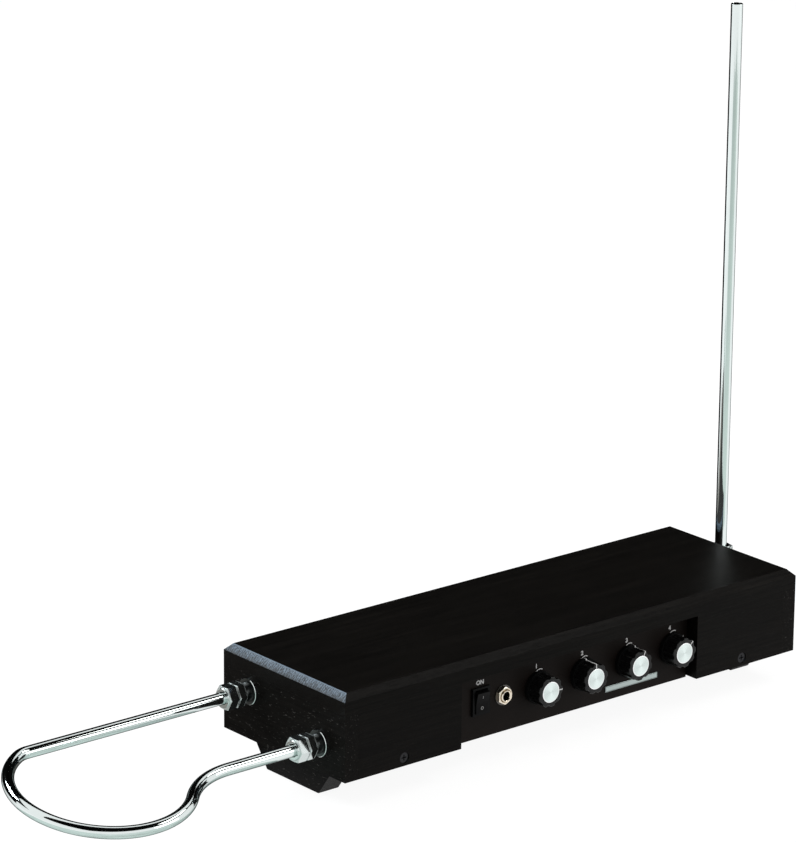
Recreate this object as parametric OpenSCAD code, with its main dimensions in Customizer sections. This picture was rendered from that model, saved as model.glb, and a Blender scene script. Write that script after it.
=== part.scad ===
// Theremin: a stained wooden cabinet with a bent loop antenna on its left end, a straight rod
// antenna on its right end and a recessed control panel in its front.
// Millimetres. X runs from the loop to the rod, Y from the front to the back, Z up.
// The origin is the centre of the stand thread, level with the cabinet's underside.

/* [Cabinet] */
// Length of the cabinet from end to end
cab_l = 457; // [446:1:480]
// Depth of the cabinet from front to back
cab_d = 146; // [140:1:165]
// Height of the cabinet without its cleats
cab_h = 68; // [67:0.5:80]
// Thickness of the end, back, front and base boards
board_t = 12.7; // [11:0.1:13.5]
// Thickness of the top board
top_t = 16; // [12:0.5:17]
// Width of the bevel round the top's four edges
bevel = 5.3; // [3:0.1:7]
// Gap between the base board and the walls
base_gap = 0.3; // [0.2:0.1:0.6]

/* [Cleats] */
// Thickness of a cleat
cleat_t = 19; // [16:0.5:22]
// Height of a cleat
cleat_h = 23; // [18:0.5:28]
// Length of a cleat where it meets the base
cleat_top_w = 96; // [90:1:110]
// Length of a cleat where it stands on the table
cleat_foot_w = 62; // [56:1:80]
// Distance from the cabinet's end to the cleat
cleat_inset = 8.5; // [8:0.5:12]

/* [Front opening and panel] */
// Width of the front opening
notch_w = 240; // [238:1:248]
// How far the opening stands right of the middle
notch_shift = 3; // [0:0.5:5]
// Clearance between the panel and the opening
panel_gap = 0.3; // [0.2:0.1:0.6]
// Thickness of the panel's sheet steel
panel_t = 1.5; // [1:0.1:2]
// Depth of the flange folded under the base board
flange_d = 18; // [15:1:24]
// Height of the knobs' axes above the underside
control_z = 26.5; // [25:0.5:29]
// Distance from the panel's middle to the first knob, in an opening 240 wide
first_knob = -35; // [-37:0.5:-34]
// Distance between two knobs, in an opening 240 wide
knob_pitch = 46; // [40:0.5:46]
// Distance from the panel's middle to the output jack, in an opening 240 wide
jack_shift = -69.5; // [-73:0.5:-66]
// Distance from the panel's middle to the power switch, in an opening 240 wide
switch_shift = -92.5; // [-98:0.5:-91]
// Length of the bare strip under the third knob
strip_w = 54; // [30:1:60]
// Height of the bare strip
strip_h = 4.6; // [3:0.1:6]

/* [Knobs and pots] */
// Radius of a knob's skirt
skirt_r = 13; // [12.5:0.1:15]
// Radius of a knob's face
knob_r = 12; // [11:0.1:12.4]
// Depth of a knob
knob_d = 15; // [13:0.5:18]
// Radius of the metal disc in a knob's face
disc_r = 8.2; // [7:0.1:9.8]
// Radius of a pot's shaft
shaft_r = 3; // [2.5:0.1:3.2]
// Radius of a pot's threaded bushing
bushing_r = 4; // [3.8:0.1:4.6]
// Radius of a pot's can
pot_r = 8.2; // [7:0.1:8.6]
// Depth of a pot's can
pot_d = 9; // [7:0.5:11]
// Turn of each knob's pointer from straight up, clockwise
pointer_turns = [90, 0, 22, 47];

/* [Output jack and switch] */
// Radius of the output jack's socket
jack_r = 3.25; // [3.22:0.01:3.35]
// Height of the output jack above the underside
jack_z = 28; // [27:0.5:30]
// Width of the switch's rocker
rocker_w = 12; // [10:0.1:12.6]
// Height of the switch's rocker
rocker_h = 18.4; // [16:0.1:19]
// Height of the switch above the underside
switch_z = 28.8; // [28.5:0.1:31]
// Throw of the rocker between its two stops, in degrees
rocker_throw = 14; // [10:1:16]

/* [Antenna tube and fittings] */
// Outer radius of the antenna tube
tube_r = 4.75; // [4:0.05:5]
// Wall of the antenna tube
tube_wall = 0.9; // [0.6:0.1:1.5]
// Width across the flats of the fittings' hexagons
hex_af = 17.5; // [16.5:0.1:18.5]
// Radius of the fittings' washers
washer_r = 10.5; // [10:0.1:12]
// Radius of the fittings' threaded stems
stem_r = 7.5; // [7:0.1:8]
// How far a fitting's nut reaches out from the wood
fitting_l = 25; // [24:0.5:28]
// Clearance between the tube and its fitting
tube_clear = 0.08; // [0.05:0.01:0.1]

/* [Loop antenna] */
// Distance between the loop's two legs
leg_spacing = 86; // [82:1:92]
// Height of the loop's middle line above the underside
loop_z = 30.4; // [30:0.2:32]
// Tilt of the loop towards the front, in degrees
loop_tilt = 10.5; // [6:0.5:11]
// Distance from the cabinet's end to the loop's far tube
loop_reach = 246; // [220:1:280]
// Radius of the loop's large bend
loop_r = 66.5; // [62:0.5:70]
// How far the large bend's centre lies in front of the middle line
loop_drop = 18; // [14:0.5:20]
// Radius of the loop's back corner
corner_r = 20; // [14:0.5:26]
// Angle of the bend back to the front leg, in degrees
neck_turn = 47; // [42:1:52]

/* [Rod antenna] */
// Height of the rod's top above the underside
rod_top = 502.5; // [380:0.5:560]
// Distance from the cabinet's end to the rod's axis
rod_out = 20; // [19:0.5:24]
// How far the rod stands behind the middle
rod_back = 34; // [0:1:40]
// Height of the elbow's axis above the underside
elbow_z = 26; // [24:0.5:30]

/* [Stand and power] */
// Radius of the stand thread's wall
stand_r = 7.45; // [7.3:0.01:7.6]
// Radius of the stand flange's plate
stand_plate_r = 30; // [26:1:34]
// Radius of the power socket's mouth
inlet_r = 7.1; // [6.8:0.1:7.6]
// How far the power socket stands left of the middle
inlet_shift = 150; // [100:1:160]

/* [Hidden] */
$fn = 48;
eps = 0.01;

// Cabinet
end_x = cab_l / 2;
front_y = -cab_d / 2;
back_y = cab_d / 2;
under_top = cab_h - top_t;
inner_x = end_x - board_t;
base_x = inner_x - base_gap;
base_front = front_y + board_t + base_gap;
base_back = back_y - board_t - base_gap;
base_top = board_t;
cleat_x = end_x - cleat_inset - cleat_t / 2;

// Panel
panel_x = notch_shift;
panel_y = base_front - panel_t;
panel_top = under_top - panel_gap;
shown_w = 240;
spread = notch_w / shown_w;
knob_room = 2;
opening_w = max(notch_w, 2 * (spread * (first_knob + 3 * knob_pitch) + skirt_r + knob_room));
panel_w = opening_w - 2 * panel_gap;
strip_shift = 61.5;
knob_x = [for (i = [0:3]) panel_x + spread * (first_knob + i * knob_pitch)];
jack_x = panel_x + spread * jack_shift;
switch_x = panel_x + spread * switch_shift;
strip_x = panel_x + spread * strip_shift;
strip_z = 7.8;
strip_t = 0.6;
flange_screw_pitch = spread * 90;
flange_screw_x = [for (i = [-1:1]) panel_x + i * flange_screw_pitch];
flange_screw_y = panel_y + flange_d - 6;

// Screws
screw_r = 1.9;
screw_head_r = 4;
screw_head_h = 2.6;
screw_clear = 0.05;
screw_sink = 0.8;
cover_screw_x = 172;
cover_screw_l = 26;
cleat_screw_y = 20;
cleat_screw_l = 30;
base_screw_l = 11;

// Knobs and pots
washer_t = 0.8;
pot_hole_r = bushing_r + 0.2;
bushing_out = 3.6;
shaft_clear = 0.05;
shaft_tip = 12;
knob_stand = 0.6;
knob_back = panel_y - knob_stand;
knob_front = knob_back - knob_d;
skirt_h = 3;
flutes = 9;
knob_edge = 1;
flute_r = 3.2;
flute_depth = 1.2;
disc_t = 0.8;
pointer_w = 1.1;
pointer_h = 0.35;
pot_nut_af = 11;
pot_nut_t = 2;
knob_hollow_r = 7.6;
knob_hollow_d = 4.2;

// Switch
bezel_w = rocker_w + 5;
bezel_h = rocker_h + 3.6;
bezel_t = 2;
rocker_gap = 0.2;
switch_wall = 1;
switch_body_w = rocker_w + 2 * rocker_gap + 2 * switch_wall;
switch_body_h = rocker_h + 2 * rocker_gap + 2 * switch_wall;
switch_body_d = 18;
switch_tab_l = 7;
pivot_r = 1.2;
pivot_clear = 0.05;
pivot_y = panel_y + 2.6;
rocker_proud = 3.4;

// Output jack
jack_thread_r = 4.7;
jack_front = panel_y - 4.4;
jack_case_w = 14.5;
jack_case_d = 22;
jack_tab_l = 4.5;
jack_nut_af = 12.7;
jack_nut_t = 2.4;
jack_washer_r = 8;

locknut_t = 5;
stem_back = board_t + locknut_t + 2;

// Circuit board
pcb_t = 1.6;
pcb_gap = 0.5;
pcb_l = 228;
pcb_front = base_front + 2;
pcb_d = 84;
pcb_x = panel_x;
pcb_top = min(control_z - pot_r, switch_z - switch_body_h / 2, jack_z - jack_case_w / 2) - pcb_gap;
pcb_z = pcb_top - pcb_t;
standoff_h = pcb_z - base_top;
pcb_inset = 6;
pcb_front_inset = 16;
standoff_r = 3.5;
board_screw_r = 1.5;
chip_l = 20;
chip_w = 6.4;
chip_h = 4;
cap_r = 4;
cap_h = 12;
coil_w = 10;
coil_h = 14;

// Chokes, in the room between the circuit board and the fittings
choke_r = 9.5;
choke_wind_r = 8;
choke_z = base_top + 13;
choke_y = 8;
choke_run = 14;
choke_share = 0.875;
choke_room = end_x - stem_back - pcb_x - pcb_l / 2 - 2 * choke_run;
choke_pitch = choke_room / (3 + choke_share);
choke_l = choke_share * choke_pitch;
pitch_choke_x = pcb_x + pcb_l / 2 + choke_run;
volume_choke_x = pcb_x - pcb_l / 2 - choke_run - choke_l;

// Antenna fittings
fit_washer_t = 1.6;
fit_neck = 8;
fit_hex = 7;
fit_nose_r = stem_r - 0.5;
fit_nose_l = 6;
nut_gap = 0.4;
nut_lip = 1.8;
nut_collar_r = hex_af / 2 - 1.2;
nut_collar_l = 1;
nose_end = fit_neck + fit_hex + fit_nose_l;
nut_start = fit_neck + fit_hex + nut_gap;
ferrule_clear = 0.15;
ferrule_r = fit_nose_r - 0.4;
tube_in = 2;
stem_clear = 0.2;
bore_r = tube_r + tube_clear;
leg_y = leg_spacing / 2;

// Loop
loop_centre_x = -end_x - loop_reach + loop_r;
corner_turn = 90 - asin((leg_y - corner_r + loop_drop) / (loop_r - corner_r));
corner_x = loop_centre_x - (loop_r - corner_r) * sin(corner_turn);
neck_r = (loop_r * cos(neck_turn) + loop_drop - leg_y) / (1 - cos(neck_turn));
neck_x = loop_centre_x + (loop_r + neck_r) * sin(neck_turn);
leg_start = -end_x - tube_in;
loop_lap = 0.2;
loop_lap_turn = 0.3;
loop_step = 0.02;

// Elbow and rod
rod_x = end_x + rod_out;
elbow_r = stem_r + 1;
elbow_hex = 13;
elbow_nose = 20;
rod_start = elbow_z + 9;

// Stand flange
stand_plate_t = 3;
stand_collar_r = 11;
stand_collar_l = 16;
stand_hub_l = 6;
stand_screw_pcd = 44;

// Power socket
inlet_x = -inlet_shift;
inlet_z = 32;
inlet_shell_r = inlet_r + 1.4;
inlet_flange_r = inlet_r + 4.4;
inlet_flange_t = 1.5;
inlet_depth = 5;
inlet_l = board_t + 8;

wood = [0.03, 0.028, 0.027];
steel_black = [0.05, 0.05, 0.055];
plastic_black = [0.06, 0.06, 0.065];
nickel = [0.78, 0.78, 0.8];
brass = [0.75, 0.6, 0.3];
board_green = [0.08, 0.3, 0.16];

// ---------- shared shapes ----------

// A box given by its lowest and highest corners
module block(low, high) {
    translate(low) cube(high - low);
}

// A hexagonal prism along +Z
module hex(af, h) {
    cylinder(h = h, r = af / 2 / cos(30), $fn = 6);
}

// A countersunk screw along +Z with its head's face at z = 0
module screw_shape(len, grow = 0) {
    cylinder(h = screw_head_h, r1 = screw_head_r + grow, r2 = screw_r + grow);
    cylinder(h = len + grow, r = screw_r + grow);
}

// A countersunk screw with a crossed recess in its head
module screw(len) {
    difference() {
        screw_shape(len);
        translate([-2.3, -0.45, -eps]) cube([4.6, 0.9, 1.6]);
        translate([-0.45, -2.3, -eps]) cube([0.9, 4.6, 1.6]);
    }
}

// The hole that a screw sits in, with a counterbore down to its head
module screw_hole(len) {
    screw_shape(len, screw_clear);
    translate([0, 0, -screw_sink - 1]) cylinder(h = screw_sink + 1 + eps, r = screw_head_r + 0.3);
}

// Puts its children at each cover screw, pointing into the cabinet
module at_cover_screws() {
    for (x = [-cover_screw_x, cover_screw_x]) {
        translate([x, front_y + screw_sink, base_top / 2]) rotate([-90, 0, 0]) children();
        translate([x, back_y - screw_sink, base_top / 2]) rotate([90, 0, 0]) children();
    }
}

// Puts its children at each cleat screw, pointing up
module at_cleat_screws() {
    for (x = [-cleat_x, cleat_x])
        for (y = [-cleat_screw_y, cleat_screw_y])
            translate([x, y, -cleat_h + screw_sink]) children();
}

// Puts its children at each screw of the panel's flange and the stand flange, pointing up
module at_flange_screws() {
    for (x = flange_screw_x) translate([x, flange_screw_y, -panel_t]) children();
}

module at_stand_screws() {
    for (a = [90, 210, 330])
        rotate([0, 0, a]) translate([stand_screw_pcd / 2, 0, -stand_plate_t]) children();
}

// Puts its children at the loop's two holes, along +Z out of the left end
module at_loop_holes() {
    for (s = [-1, 1])
        translate([-end_x, s * leg_y * cos(loop_tilt), loop_z + s * leg_y * sin(loop_tilt)])
            rotate([0, -90, 0]) children();
}

// Puts its children at the rod's hole, along +Z out of the right end
module at_rod_hole() {
    translate([end_x, rod_back, elbow_z]) rotate([0, 90, 0]) children();
}

// Puts its children on the panel's front at x and z, with +Z out of the panel
module on_panel(x, z) {
    translate([x, panel_y, z]) rotate([90, 0, 0]) children();
}

// ---------- cabinet ----------

module top_board() {
    color(wood) difference() {
        block([-end_x, front_y, under_top], [end_x, back_y, cab_h]);
        for (s = [-1, 1]) {
            translate([s * end_x, 0, cab_h]) rotate([0, 45, 0])
                cube([bevel * sqrt(2), cab_d + 2, bevel * sqrt(2)], center = true);
            translate([0, s * back_y, cab_h]) rotate([45, 0, 0])
                cube([cab_l + 2, bevel * sqrt(2), bevel * sqrt(2)], center = true);
        }
    }
}

module left_end_board() {
    color(wood) difference() {
        block([-end_x, front_y, 0], [-inner_x, back_y, under_top]);
        at_loop_holes() translate([0, 0, -board_t - 1])
            cylinder(h = board_t + 2, r = stem_r + stem_clear);
    }
}

module right_end_board() {
    color(wood) difference() {
        block([inner_x, front_y, 0], [end_x, back_y, under_top]);
        at_rod_hole() translate([0, 0, -board_t - 1])
            cylinder(h = board_t + 2, r = stem_r + stem_clear);
    }
}

module back_board() {
    color(wood) difference() {
        block([-inner_x, back_y - board_t, 0], [inner_x, back_y, under_top]);
        at_cover_screws() screw_hole(cover_screw_l);
        translate([inlet_x, back_y - board_t - 1, inlet_z]) rotate([-90, 0, 0])
            cylinder(h = board_t + 2, r = inlet_shell_r + stem_clear);
    }
}

module front_left_rail() {
    color(wood) difference() {
        block([-inner_x, front_y, 0], [panel_x - opening_w / 2, front_y + board_t, under_top]);
        at_cover_screws() screw_hole(cover_screw_l);
    }
}

module front_right_rail() {
    color(wood) difference() {
        block([panel_x + opening_w / 2, front_y, 0], [inner_x, front_y + board_t, under_top]);
        at_cover_screws() screw_hole(cover_screw_l);
    }
}

module base_board() {
    color(wood) difference() {
        block([-base_x, base_front, 0], [base_x, base_back, base_top]);
        at_cover_screws() screw_hole(cover_screw_l);
        at_cleat_screws() screw_hole(cleat_screw_l);
        at_flange_screws() screw_hole(base_screw_l);
        at_stand_screws() screw_hole(base_screw_l);
        translate([0, 0, -1]) cylinder(h = base_top + 2, r = stand_collar_r + stem_clear);
        at_standoffs() translate([0, 0, -8]) cylinder(h = 9, r = board_screw_r + screw_clear);
    }
}

module cleat(side) {
    color(wood) difference() {
        translate([side * cleat_x - cleat_t / 2, 0, 0]) rotate([90, 0, 90])
            linear_extrude(cleat_t) polygon([
                [-cleat_top_w / 2, 0], [-cleat_foot_w / 2, -cleat_h],
                [cleat_foot_w / 2, -cleat_h], [cleat_top_w / 2, 0]
            ]);
        at_cleat_screws() screw_hole(cleat_screw_l);
    }
}

module left_cleat() {
    cleat(-1);
}

module right_cleat() {
    cleat(1);
}

module base_screws() {
    color(nickel) {
        at_cleat_screws() screw(cleat_screw_l);
        at_flange_screws() screw(base_screw_l);
        at_stand_screws() screw(base_screw_l);
    }
}

module cover_screws() {
    color(steel_black) at_cover_screws() screw(cover_screw_l);
}

// ---------- panel ----------

module front_panel() {
    left = panel_x - panel_w / 2;
    right = panel_x + panel_w / 2;
    color(steel_black) difference() {
        union() {
            block([left, panel_y, -panel_t], [right, base_front, panel_top]);
            block([left, panel_y, -panel_t], [right, panel_y + flange_d, 0]);
        }
        for (x = knob_x)
            on_panel(x, control_z) translate([0, 0, -panel_t - 1])
                cylinder(h = panel_t + 2, r = pot_hole_r);
        on_panel(jack_x, jack_z) translate([0, 0, -panel_t - 1])
            cylinder(h = panel_t + 2, r = jack_thread_r + 0.2);
        translate([switch_x, panel_y, switch_z])
            cube([switch_body_w + 0.4, 4 * panel_t, switch_body_h + 0.4], center = true);
        at_flange_screws() screw_shape(base_screw_l, screw_clear);
    }
}

module blank_strip() {
    color([0.8, 0.82, 0.84]) on_panel(strip_x, strip_z) linear_extrude(strip_t)
        square([strip_w, strip_h], center = true);
}

module switch_body() {
    color(plastic_black) difference() {
        translate([switch_x, 0, switch_z]) union() {
            block([-bezel_w / 2, panel_y - bezel_t, -bezel_h / 2], [bezel_w / 2, panel_y, bezel_h / 2]);
            block([-switch_body_w / 2, panel_y - eps, -switch_body_h / 2],
                [switch_body_w / 2, panel_y + switch_body_d, switch_body_h / 2]);
            for (z = [-6, 0, 6])
                block([-2.4, panel_y + switch_body_d - eps, z - 0.4],
                    [2.4, panel_y + switch_body_d + switch_tab_l, z + 0.4]);
        }
        translate([switch_x, 0, switch_z])
            block([-rocker_w / 2 - rocker_gap, panel_y - bezel_t - 1, -rocker_h / 2 - rocker_gap],
                [rocker_w / 2 + rocker_gap, panel_y + switch_body_d - 4, rocker_h / 2 + rocker_gap]);
        translate([switch_x - rocker_w / 2 - rocker_gap - 0.6, pivot_y, switch_z])
            rotate([0, 90, 0]) cylinder(h = rocker_w + 2 * rocker_gap + 1.2, r = pivot_r + pivot_clear);
    }
}

// The rocker stands with its lower half pressed in
module switch_rocker() {
    reach = rocker_h / 2 - 0.7;
    front = -(pivot_y - panel_y) - bezel_t;
    color(plastic_black) translate([switch_x, pivot_y, switch_z]) {
        rotate([rocker_throw / 2, 0, 0]) translate([-rocker_w / 2, 0, 0])
            rotate([90, 0, 90]) linear_extrude(rocker_w) polygon([
                [front - rocker_proud + 2.2, 0], [front - rocker_proud + 1.3, reach],
                [front + 3.4, reach], [2.5, 3], [2.5, -3], [front + 3.4, -reach],
                [front - rocker_proud + 1.3, -reach]
            ]);
        translate([-rocker_w / 2 - rocker_gap - 0.5, 0, 0]) rotate([0, 90, 0])
            cylinder(h = rocker_w + 2 * rocker_gap + 1, r = pivot_r);
    }
}

module jack_body() {
    color([0.2, 0.2, 0.2]) difference() {
        union() {
            translate([jack_x, jack_front, jack_z]) rotate([-90, 0, 0])
                cylinder(h = base_front - jack_front + 1, r = jack_thread_r);
            translate([jack_x, base_front + jack_case_d / 2, jack_z])
                cube([jack_case_w, jack_case_d, jack_case_w], center = true);
            for (z = [-4, 0, 4])
                translate([jack_x + 5.6, base_front + jack_case_d - eps, jack_z + z - 1.2])
                    cube([0.8, jack_tab_l + eps, 2.4]);
        }
        translate([jack_x, jack_front - 1, jack_z]) rotate([-90, 0, 0])
            cylinder(h = base_front + jack_case_d - jack_front + 2, r = jack_r);
    }
}

module jack_nut() {
    color([0.85, 0.78, 0.6]) on_panel(jack_x, jack_z) translate([0, 0, washer_t]) difference() {
        hex(jack_nut_af, jack_nut_t);
        translate([0, 0, -1]) cylinder(h = jack_nut_t + 2, r = jack_thread_r + shaft_clear);
    }
}

// A flat ring along +Z
module ring(outer, inner, h) {
    difference() {
        cylinder(h = h, r = outer);
        translate([0, 0, -1]) cylinder(h = h + 2, r = inner);
    }
}

module panel_washers() {
    color(nickel) {
        on_panel(jack_x, jack_z) ring(jack_washer_r, jack_thread_r + shaft_clear, washer_t);
        for (x = knob_x) on_panel(x, control_z) ring(6.4, bushing_r + shaft_clear, washer_t);
    }
}

module pot_nuts() {
    color(nickel) for (x = knob_x) on_panel(x, control_z) translate([0, 0, washer_t]) difference() {
        hex(pot_nut_af, pot_nut_t);
        translate([0, 0, -1]) cylinder(h = pot_nut_t + 2, r = bushing_r + shaft_clear);
    }
}

// ---------- pots, shafts and knobs; i counts from the left ----------

module pot(i) {
    color([0.55, 0.56, 0.58]) on_panel(knob_x[i], control_z) difference() {
        union() {
            translate([0, 0, -panel_t - pot_d]) cylinder(h = pot_d, r = pot_r);
            translate([0, 0, -panel_t - 1]) cylinder(h = panel_t + 1 + bushing_out, r = bushing_r);
            for (x = [-5, 0, 5])
                translate([x, (pcb_top - control_z) / 2, -panel_t - 4])
                    cube([1.2, control_z - pcb_top, 0.6], center = true);
        }
        translate([0, 0, -panel_t - 5]) cylinder(h = 6 + panel_t + bushing_out, r = shaft_r + shaft_clear);
        translate([0, 0, -panel_t - 6]) cylinder(h = 2, r = shaft_r + 1 + shaft_clear);
    }
}

module shaft(i) {
    color(nickel) on_panel(knob_x[i], control_z) {
        translate([0, 0, -panel_t - 4.9]) cylinder(h = panel_t + 4.9 + shaft_tip, r = shaft_r);
        translate([0, 0, -panel_t - 5.9]) cylinder(h = 1.7, r = shaft_r + 1);
    }
}

module knob(i) {
    color(plastic_black) on_panel(knob_x[i], control_z) rotate([0, 0, -pointer_turns[i]])
        translate([0, 0, knob_stand]) difference() {
            union() {
                cylinder(h = skirt_h, r = skirt_r);
                cylinder(h = knob_d - knob_edge, r = knob_r);
                translate([0, 0, knob_d - knob_edge])
                    cylinder(h = knob_edge, r1 = knob_r, r2 = knob_r - 0.7);
            }
            for (k = [0:flutes - 1])
                rotate([0, 0, 90 + (k + 0.5) * 360 / flutes])
                    translate([knob_r - flute_depth + flute_r, 0, skirt_h + 0.5])
                        cylinder(h = knob_d, r = flute_r);
            translate([0, 0, knob_d - disc_t]) cylinder(h = disc_t + 1, r = disc_r + shaft_clear);
            translate([0, 0, -1]) cylinder(h = knob_hollow_d + 1, r = knob_hollow_r);
            translate([0, 0, -1]) cylinder(h = shaft_tip - knob_stand + 1.2, r = shaft_r + shaft_clear);
            block([-pointer_w / 2, disc_r - 1, knob_d - pointer_h],
                [pointer_w / 2, knob_r + 2, knob_d + 1]);
            block([-pointer_w / 2, knob_r - pointer_h, skirt_h + 0.5],
                [pointer_w / 2, knob_r + 2, knob_d + 1]);
        }
}

module knob_disc(i) {
    color([0.85, 0.86, 0.87]) on_panel(knob_x[i], control_z)
        translate([0, 0, knob_stand + knob_d - disc_t]) cylinder(h = disc_t + 0.2, r = disc_r);
}

module volume_pot() pot(0);
module pitch_pot() pot(1);
module waveform_pot() pot(2);
module brightness_pot() pot(3);
module volume_shaft() shaft(0);
module pitch_shaft() shaft(1);
module waveform_shaft() shaft(2);
module brightness_shaft() shaft(3);
module volume_knob() knob(0);
module pitch_knob() knob(1);
module waveform_knob() knob(2);
module brightness_knob() knob(3);
module volume_disc() knob_disc(0);
module pitch_disc() knob_disc(1);
module waveform_disc() knob_disc(2);
module brightness_disc() knob_disc(3);

// ---------- electronics ----------

module at_standoffs() {
    for (x = [pcb_inset, pcb_l - pcb_inset])
        for (y = [pcb_front_inset, pcb_d - pcb_inset])
            translate([pcb_x - pcb_l / 2 + x, pcb_front + y, base_top]) children();
}

module circuit_board() {
    color(board_green) difference() {
        block([pcb_x - pcb_l / 2, pcb_front, pcb_z], [pcb_x + pcb_l / 2, pcb_front + pcb_d, pcb_top]);
        at_standoffs() cylinder(h = standoff_h + pcb_t + 1, r = board_screw_r + screw_clear);
    }
}

module board_standoffs() {
    color(brass) at_standoffs() ring(standoff_r, board_screw_r + screw_clear, standoff_h);
}

module board_screws() {
    color(nickel) at_standoffs() {
        translate([0, 0, -7]) cylinder(h = 7 + standoff_h + pcb_t, r = board_screw_r);
        translate([0, 0, standoff_h + pcb_t]) difference() {
            cylinder(h = 1.8, r = 2.8);
            translate([-3, -0.4, 1]) cube([6, 0.8, 1]);
        }
    }
}

// Stands its children on the circuit board at shares of its length and depth
module on_board(x, y) {
    translate([pcb_x + x * pcb_l, pcb_front + y * pcb_d, pcb_top]) children();
}

module chips() {
    color([0.1, 0.1, 0.1]) for (x = [-0.264, -0.11, 0.044, 0.198, 0.352])
        on_board(x, 0.55) {
            translate([-chip_l / 2, -chip_w / 2, 0.6]) cube([chip_l, chip_w, chip_h - 0.6]);
            for (k = [-3.5:1:3.5])
                translate([2.54 * k - 0.3, -chip_w / 2 - 0.7, 0]) cube([0.6, chip_w + 1.4, 1.4]);
        }
}

module capacitors() {
    color([0.15, 0.2, 0.45]) for (x = [-0.43, -0.368, -0.176, -0.022, 0.132, 0.286])
        on_board(x, 0.786) difference() {
            cylinder(h = cap_h, r = cap_r);
            translate([0, 0, cap_h - 2.4]) ring(cap_r + 1, cap_r - 0.3, 0.8);
        }
}

module tuning_coils() {
    color([0.7, 0.7, 0.72]) for (p = [[-0.167, 0.333], [-0.096, 0.333], [0.434, 0.357], [0.434, 0.738]])
        on_board(p[0], p[1]) difference() {
            translate([-coil_w / 2, -coil_w / 2, 0]) cube([coil_w, coil_w, coil_h]);
            translate([0, 0, coil_h - 4]) cylinder(h = 5, r = 0.3 * coil_w);
        }
}

module regulator() {
    color([0.6, 0.6, 0.62]) on_board(-0.439, 0.524) {
        block([-8, -1, 0], [8, 1, 18]);
        for (x = [-7, -3.5, 0, 3.5, 7]) block([x - 0.5, 1 - eps, 2], [x + 0.5, 7, 18]);
    }
}

// A bobbin wound with fine wire, along +X, with square feet on the base board
module choke(x) {
    translate([x, choke_y, choke_z]) {
        rotate([0, 90, 0]) cylinder(h = choke_l, r = choke_wind_r);
        for (s = [0, choke_l - 1.5]) translate([s, 0, 0]) {
            rotate([0, 90, 0]) cylinder(h = 1.5, r = choke_r);
            block([0, -6, base_top - choke_z], [1.5, 6, 0]);
        }
    }
}

module pitch_chokes() {
    color([0.6, 0.3, 0.15]) for (i = [0:3]) choke(pitch_choke_x + i * choke_pitch);
}

module volume_chokes() {
    color([0.6, 0.3, 0.15]) for (i = [0:2]) choke(volume_choke_x - i * choke_pitch);
}

module power_inlet() {
    color(plastic_black) translate([inlet_x, back_y, inlet_z]) rotate([-90, 0, 0]) difference() {
        union() {
            translate([0, 0, -inlet_l]) cylinder(h = inlet_l + eps, r = inlet_shell_r);
            cylinder(h = inlet_flange_t, r = inlet_flange_r);
        }
        translate([0, 0, inlet_flange_t - inlet_depth]) cylinder(h = inlet_depth + 1, r = inlet_r);
        for (a = [-90, -45, 0, 45, 90])
            rotate([0, 0, a]) translate([0, 4.6, inlet_flange_t - inlet_depth - 4])
                cylinder(h = 5, r = 0.8, $fn = 16);
    }
}

// ---------- inner wires ----------

lead_r = 0.9;
lead_sides = 8;
lead_steps = 4;
lead_gap = 0.05;

function unit(v) = v / norm(v);

// A smooth curve through the points, lead_steps pieces to each stretch
function smooth(p) = [
    for (i = [0:len(p) - 2]) for (s = [0:lead_steps - 1])
        let (t = s / lead_steps, a = p[max(i - 1, 0)], b = p[i], c = p[i + 1], d = p[min(i + 2, len(p) - 1)])
        0.5 * (2 * b + (c - a) * t + (2 * a - 5 * b + 4 * c - d) * t * t
            + (3 * b - a - 3 * c + d) * t * t * t),
    p[len(p) - 1]
];

// Headings along the smooth points p; the ends keep those of the given points q
function headings(p, q) = [
    unit(q[1] - q[0]),
    for (i = [1:len(p) - 2]) unit(p[i + 1] - p[i - 1]),
    unit(q[len(q) - 1] - q[len(q) - 2])
];

// Carries one sideways direction along the curve without twisting it
function carried(h, n, i = 0, done = []) =
    i == len(h) ? done
    : let (m = unit(n - (n * h[i]) * h[i])) carried(h, m, i + 1, concat(done, [m]));

// A round wire of radius lead_r along the points
module lead(points) {
    p = smooth(points);
    h = headings(p, points);
    n = carried(h, abs(h[0][2]) > 0.9 ? [1, 0, 0] : [0, 0, 1]);
    m = lead_sides;
    last = len(p) - 1;
    rings = [
        for (i = [0:last]) for (k = [0:m - 1])
            p[i] + lead_r * (cos(360 * k / m) * n[i] + sin(360 * k / m) * cross(h[i], n[i]))
    ];
    sides = [
        for (i = [0:last - 1]) for (k = [0:m - 1])
            let (a = i * m + k, b = i * m + (k + 1) % m)
            each [[a, b, a + m], [b, b + m, a + m]]
    ];
    caps = [[for (k = [m - 1:-1:0]) k], [for (k = [0:m - 1]) last * m + k]];
    polyhedron(points = rings, faces = [for (f = concat(sides, caps)) [for (k = [len(f) - 1:-1:0]) f[k]]]);
}

pitch_tab = [end_x - stem_back - lead_gap, rod_back, elbow_z - 5.6];
volume_tab = [
    -end_x + stem_back + lead_gap, leg_y * cos(loop_tilt),
    loop_z + leg_y * sin(loop_tilt) - 5.6
];
pitch_last = pitch_choke_x + 3 * choke_pitch + choke_l;
volume_last = volume_choke_x - 2 * choke_pitch;

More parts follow.
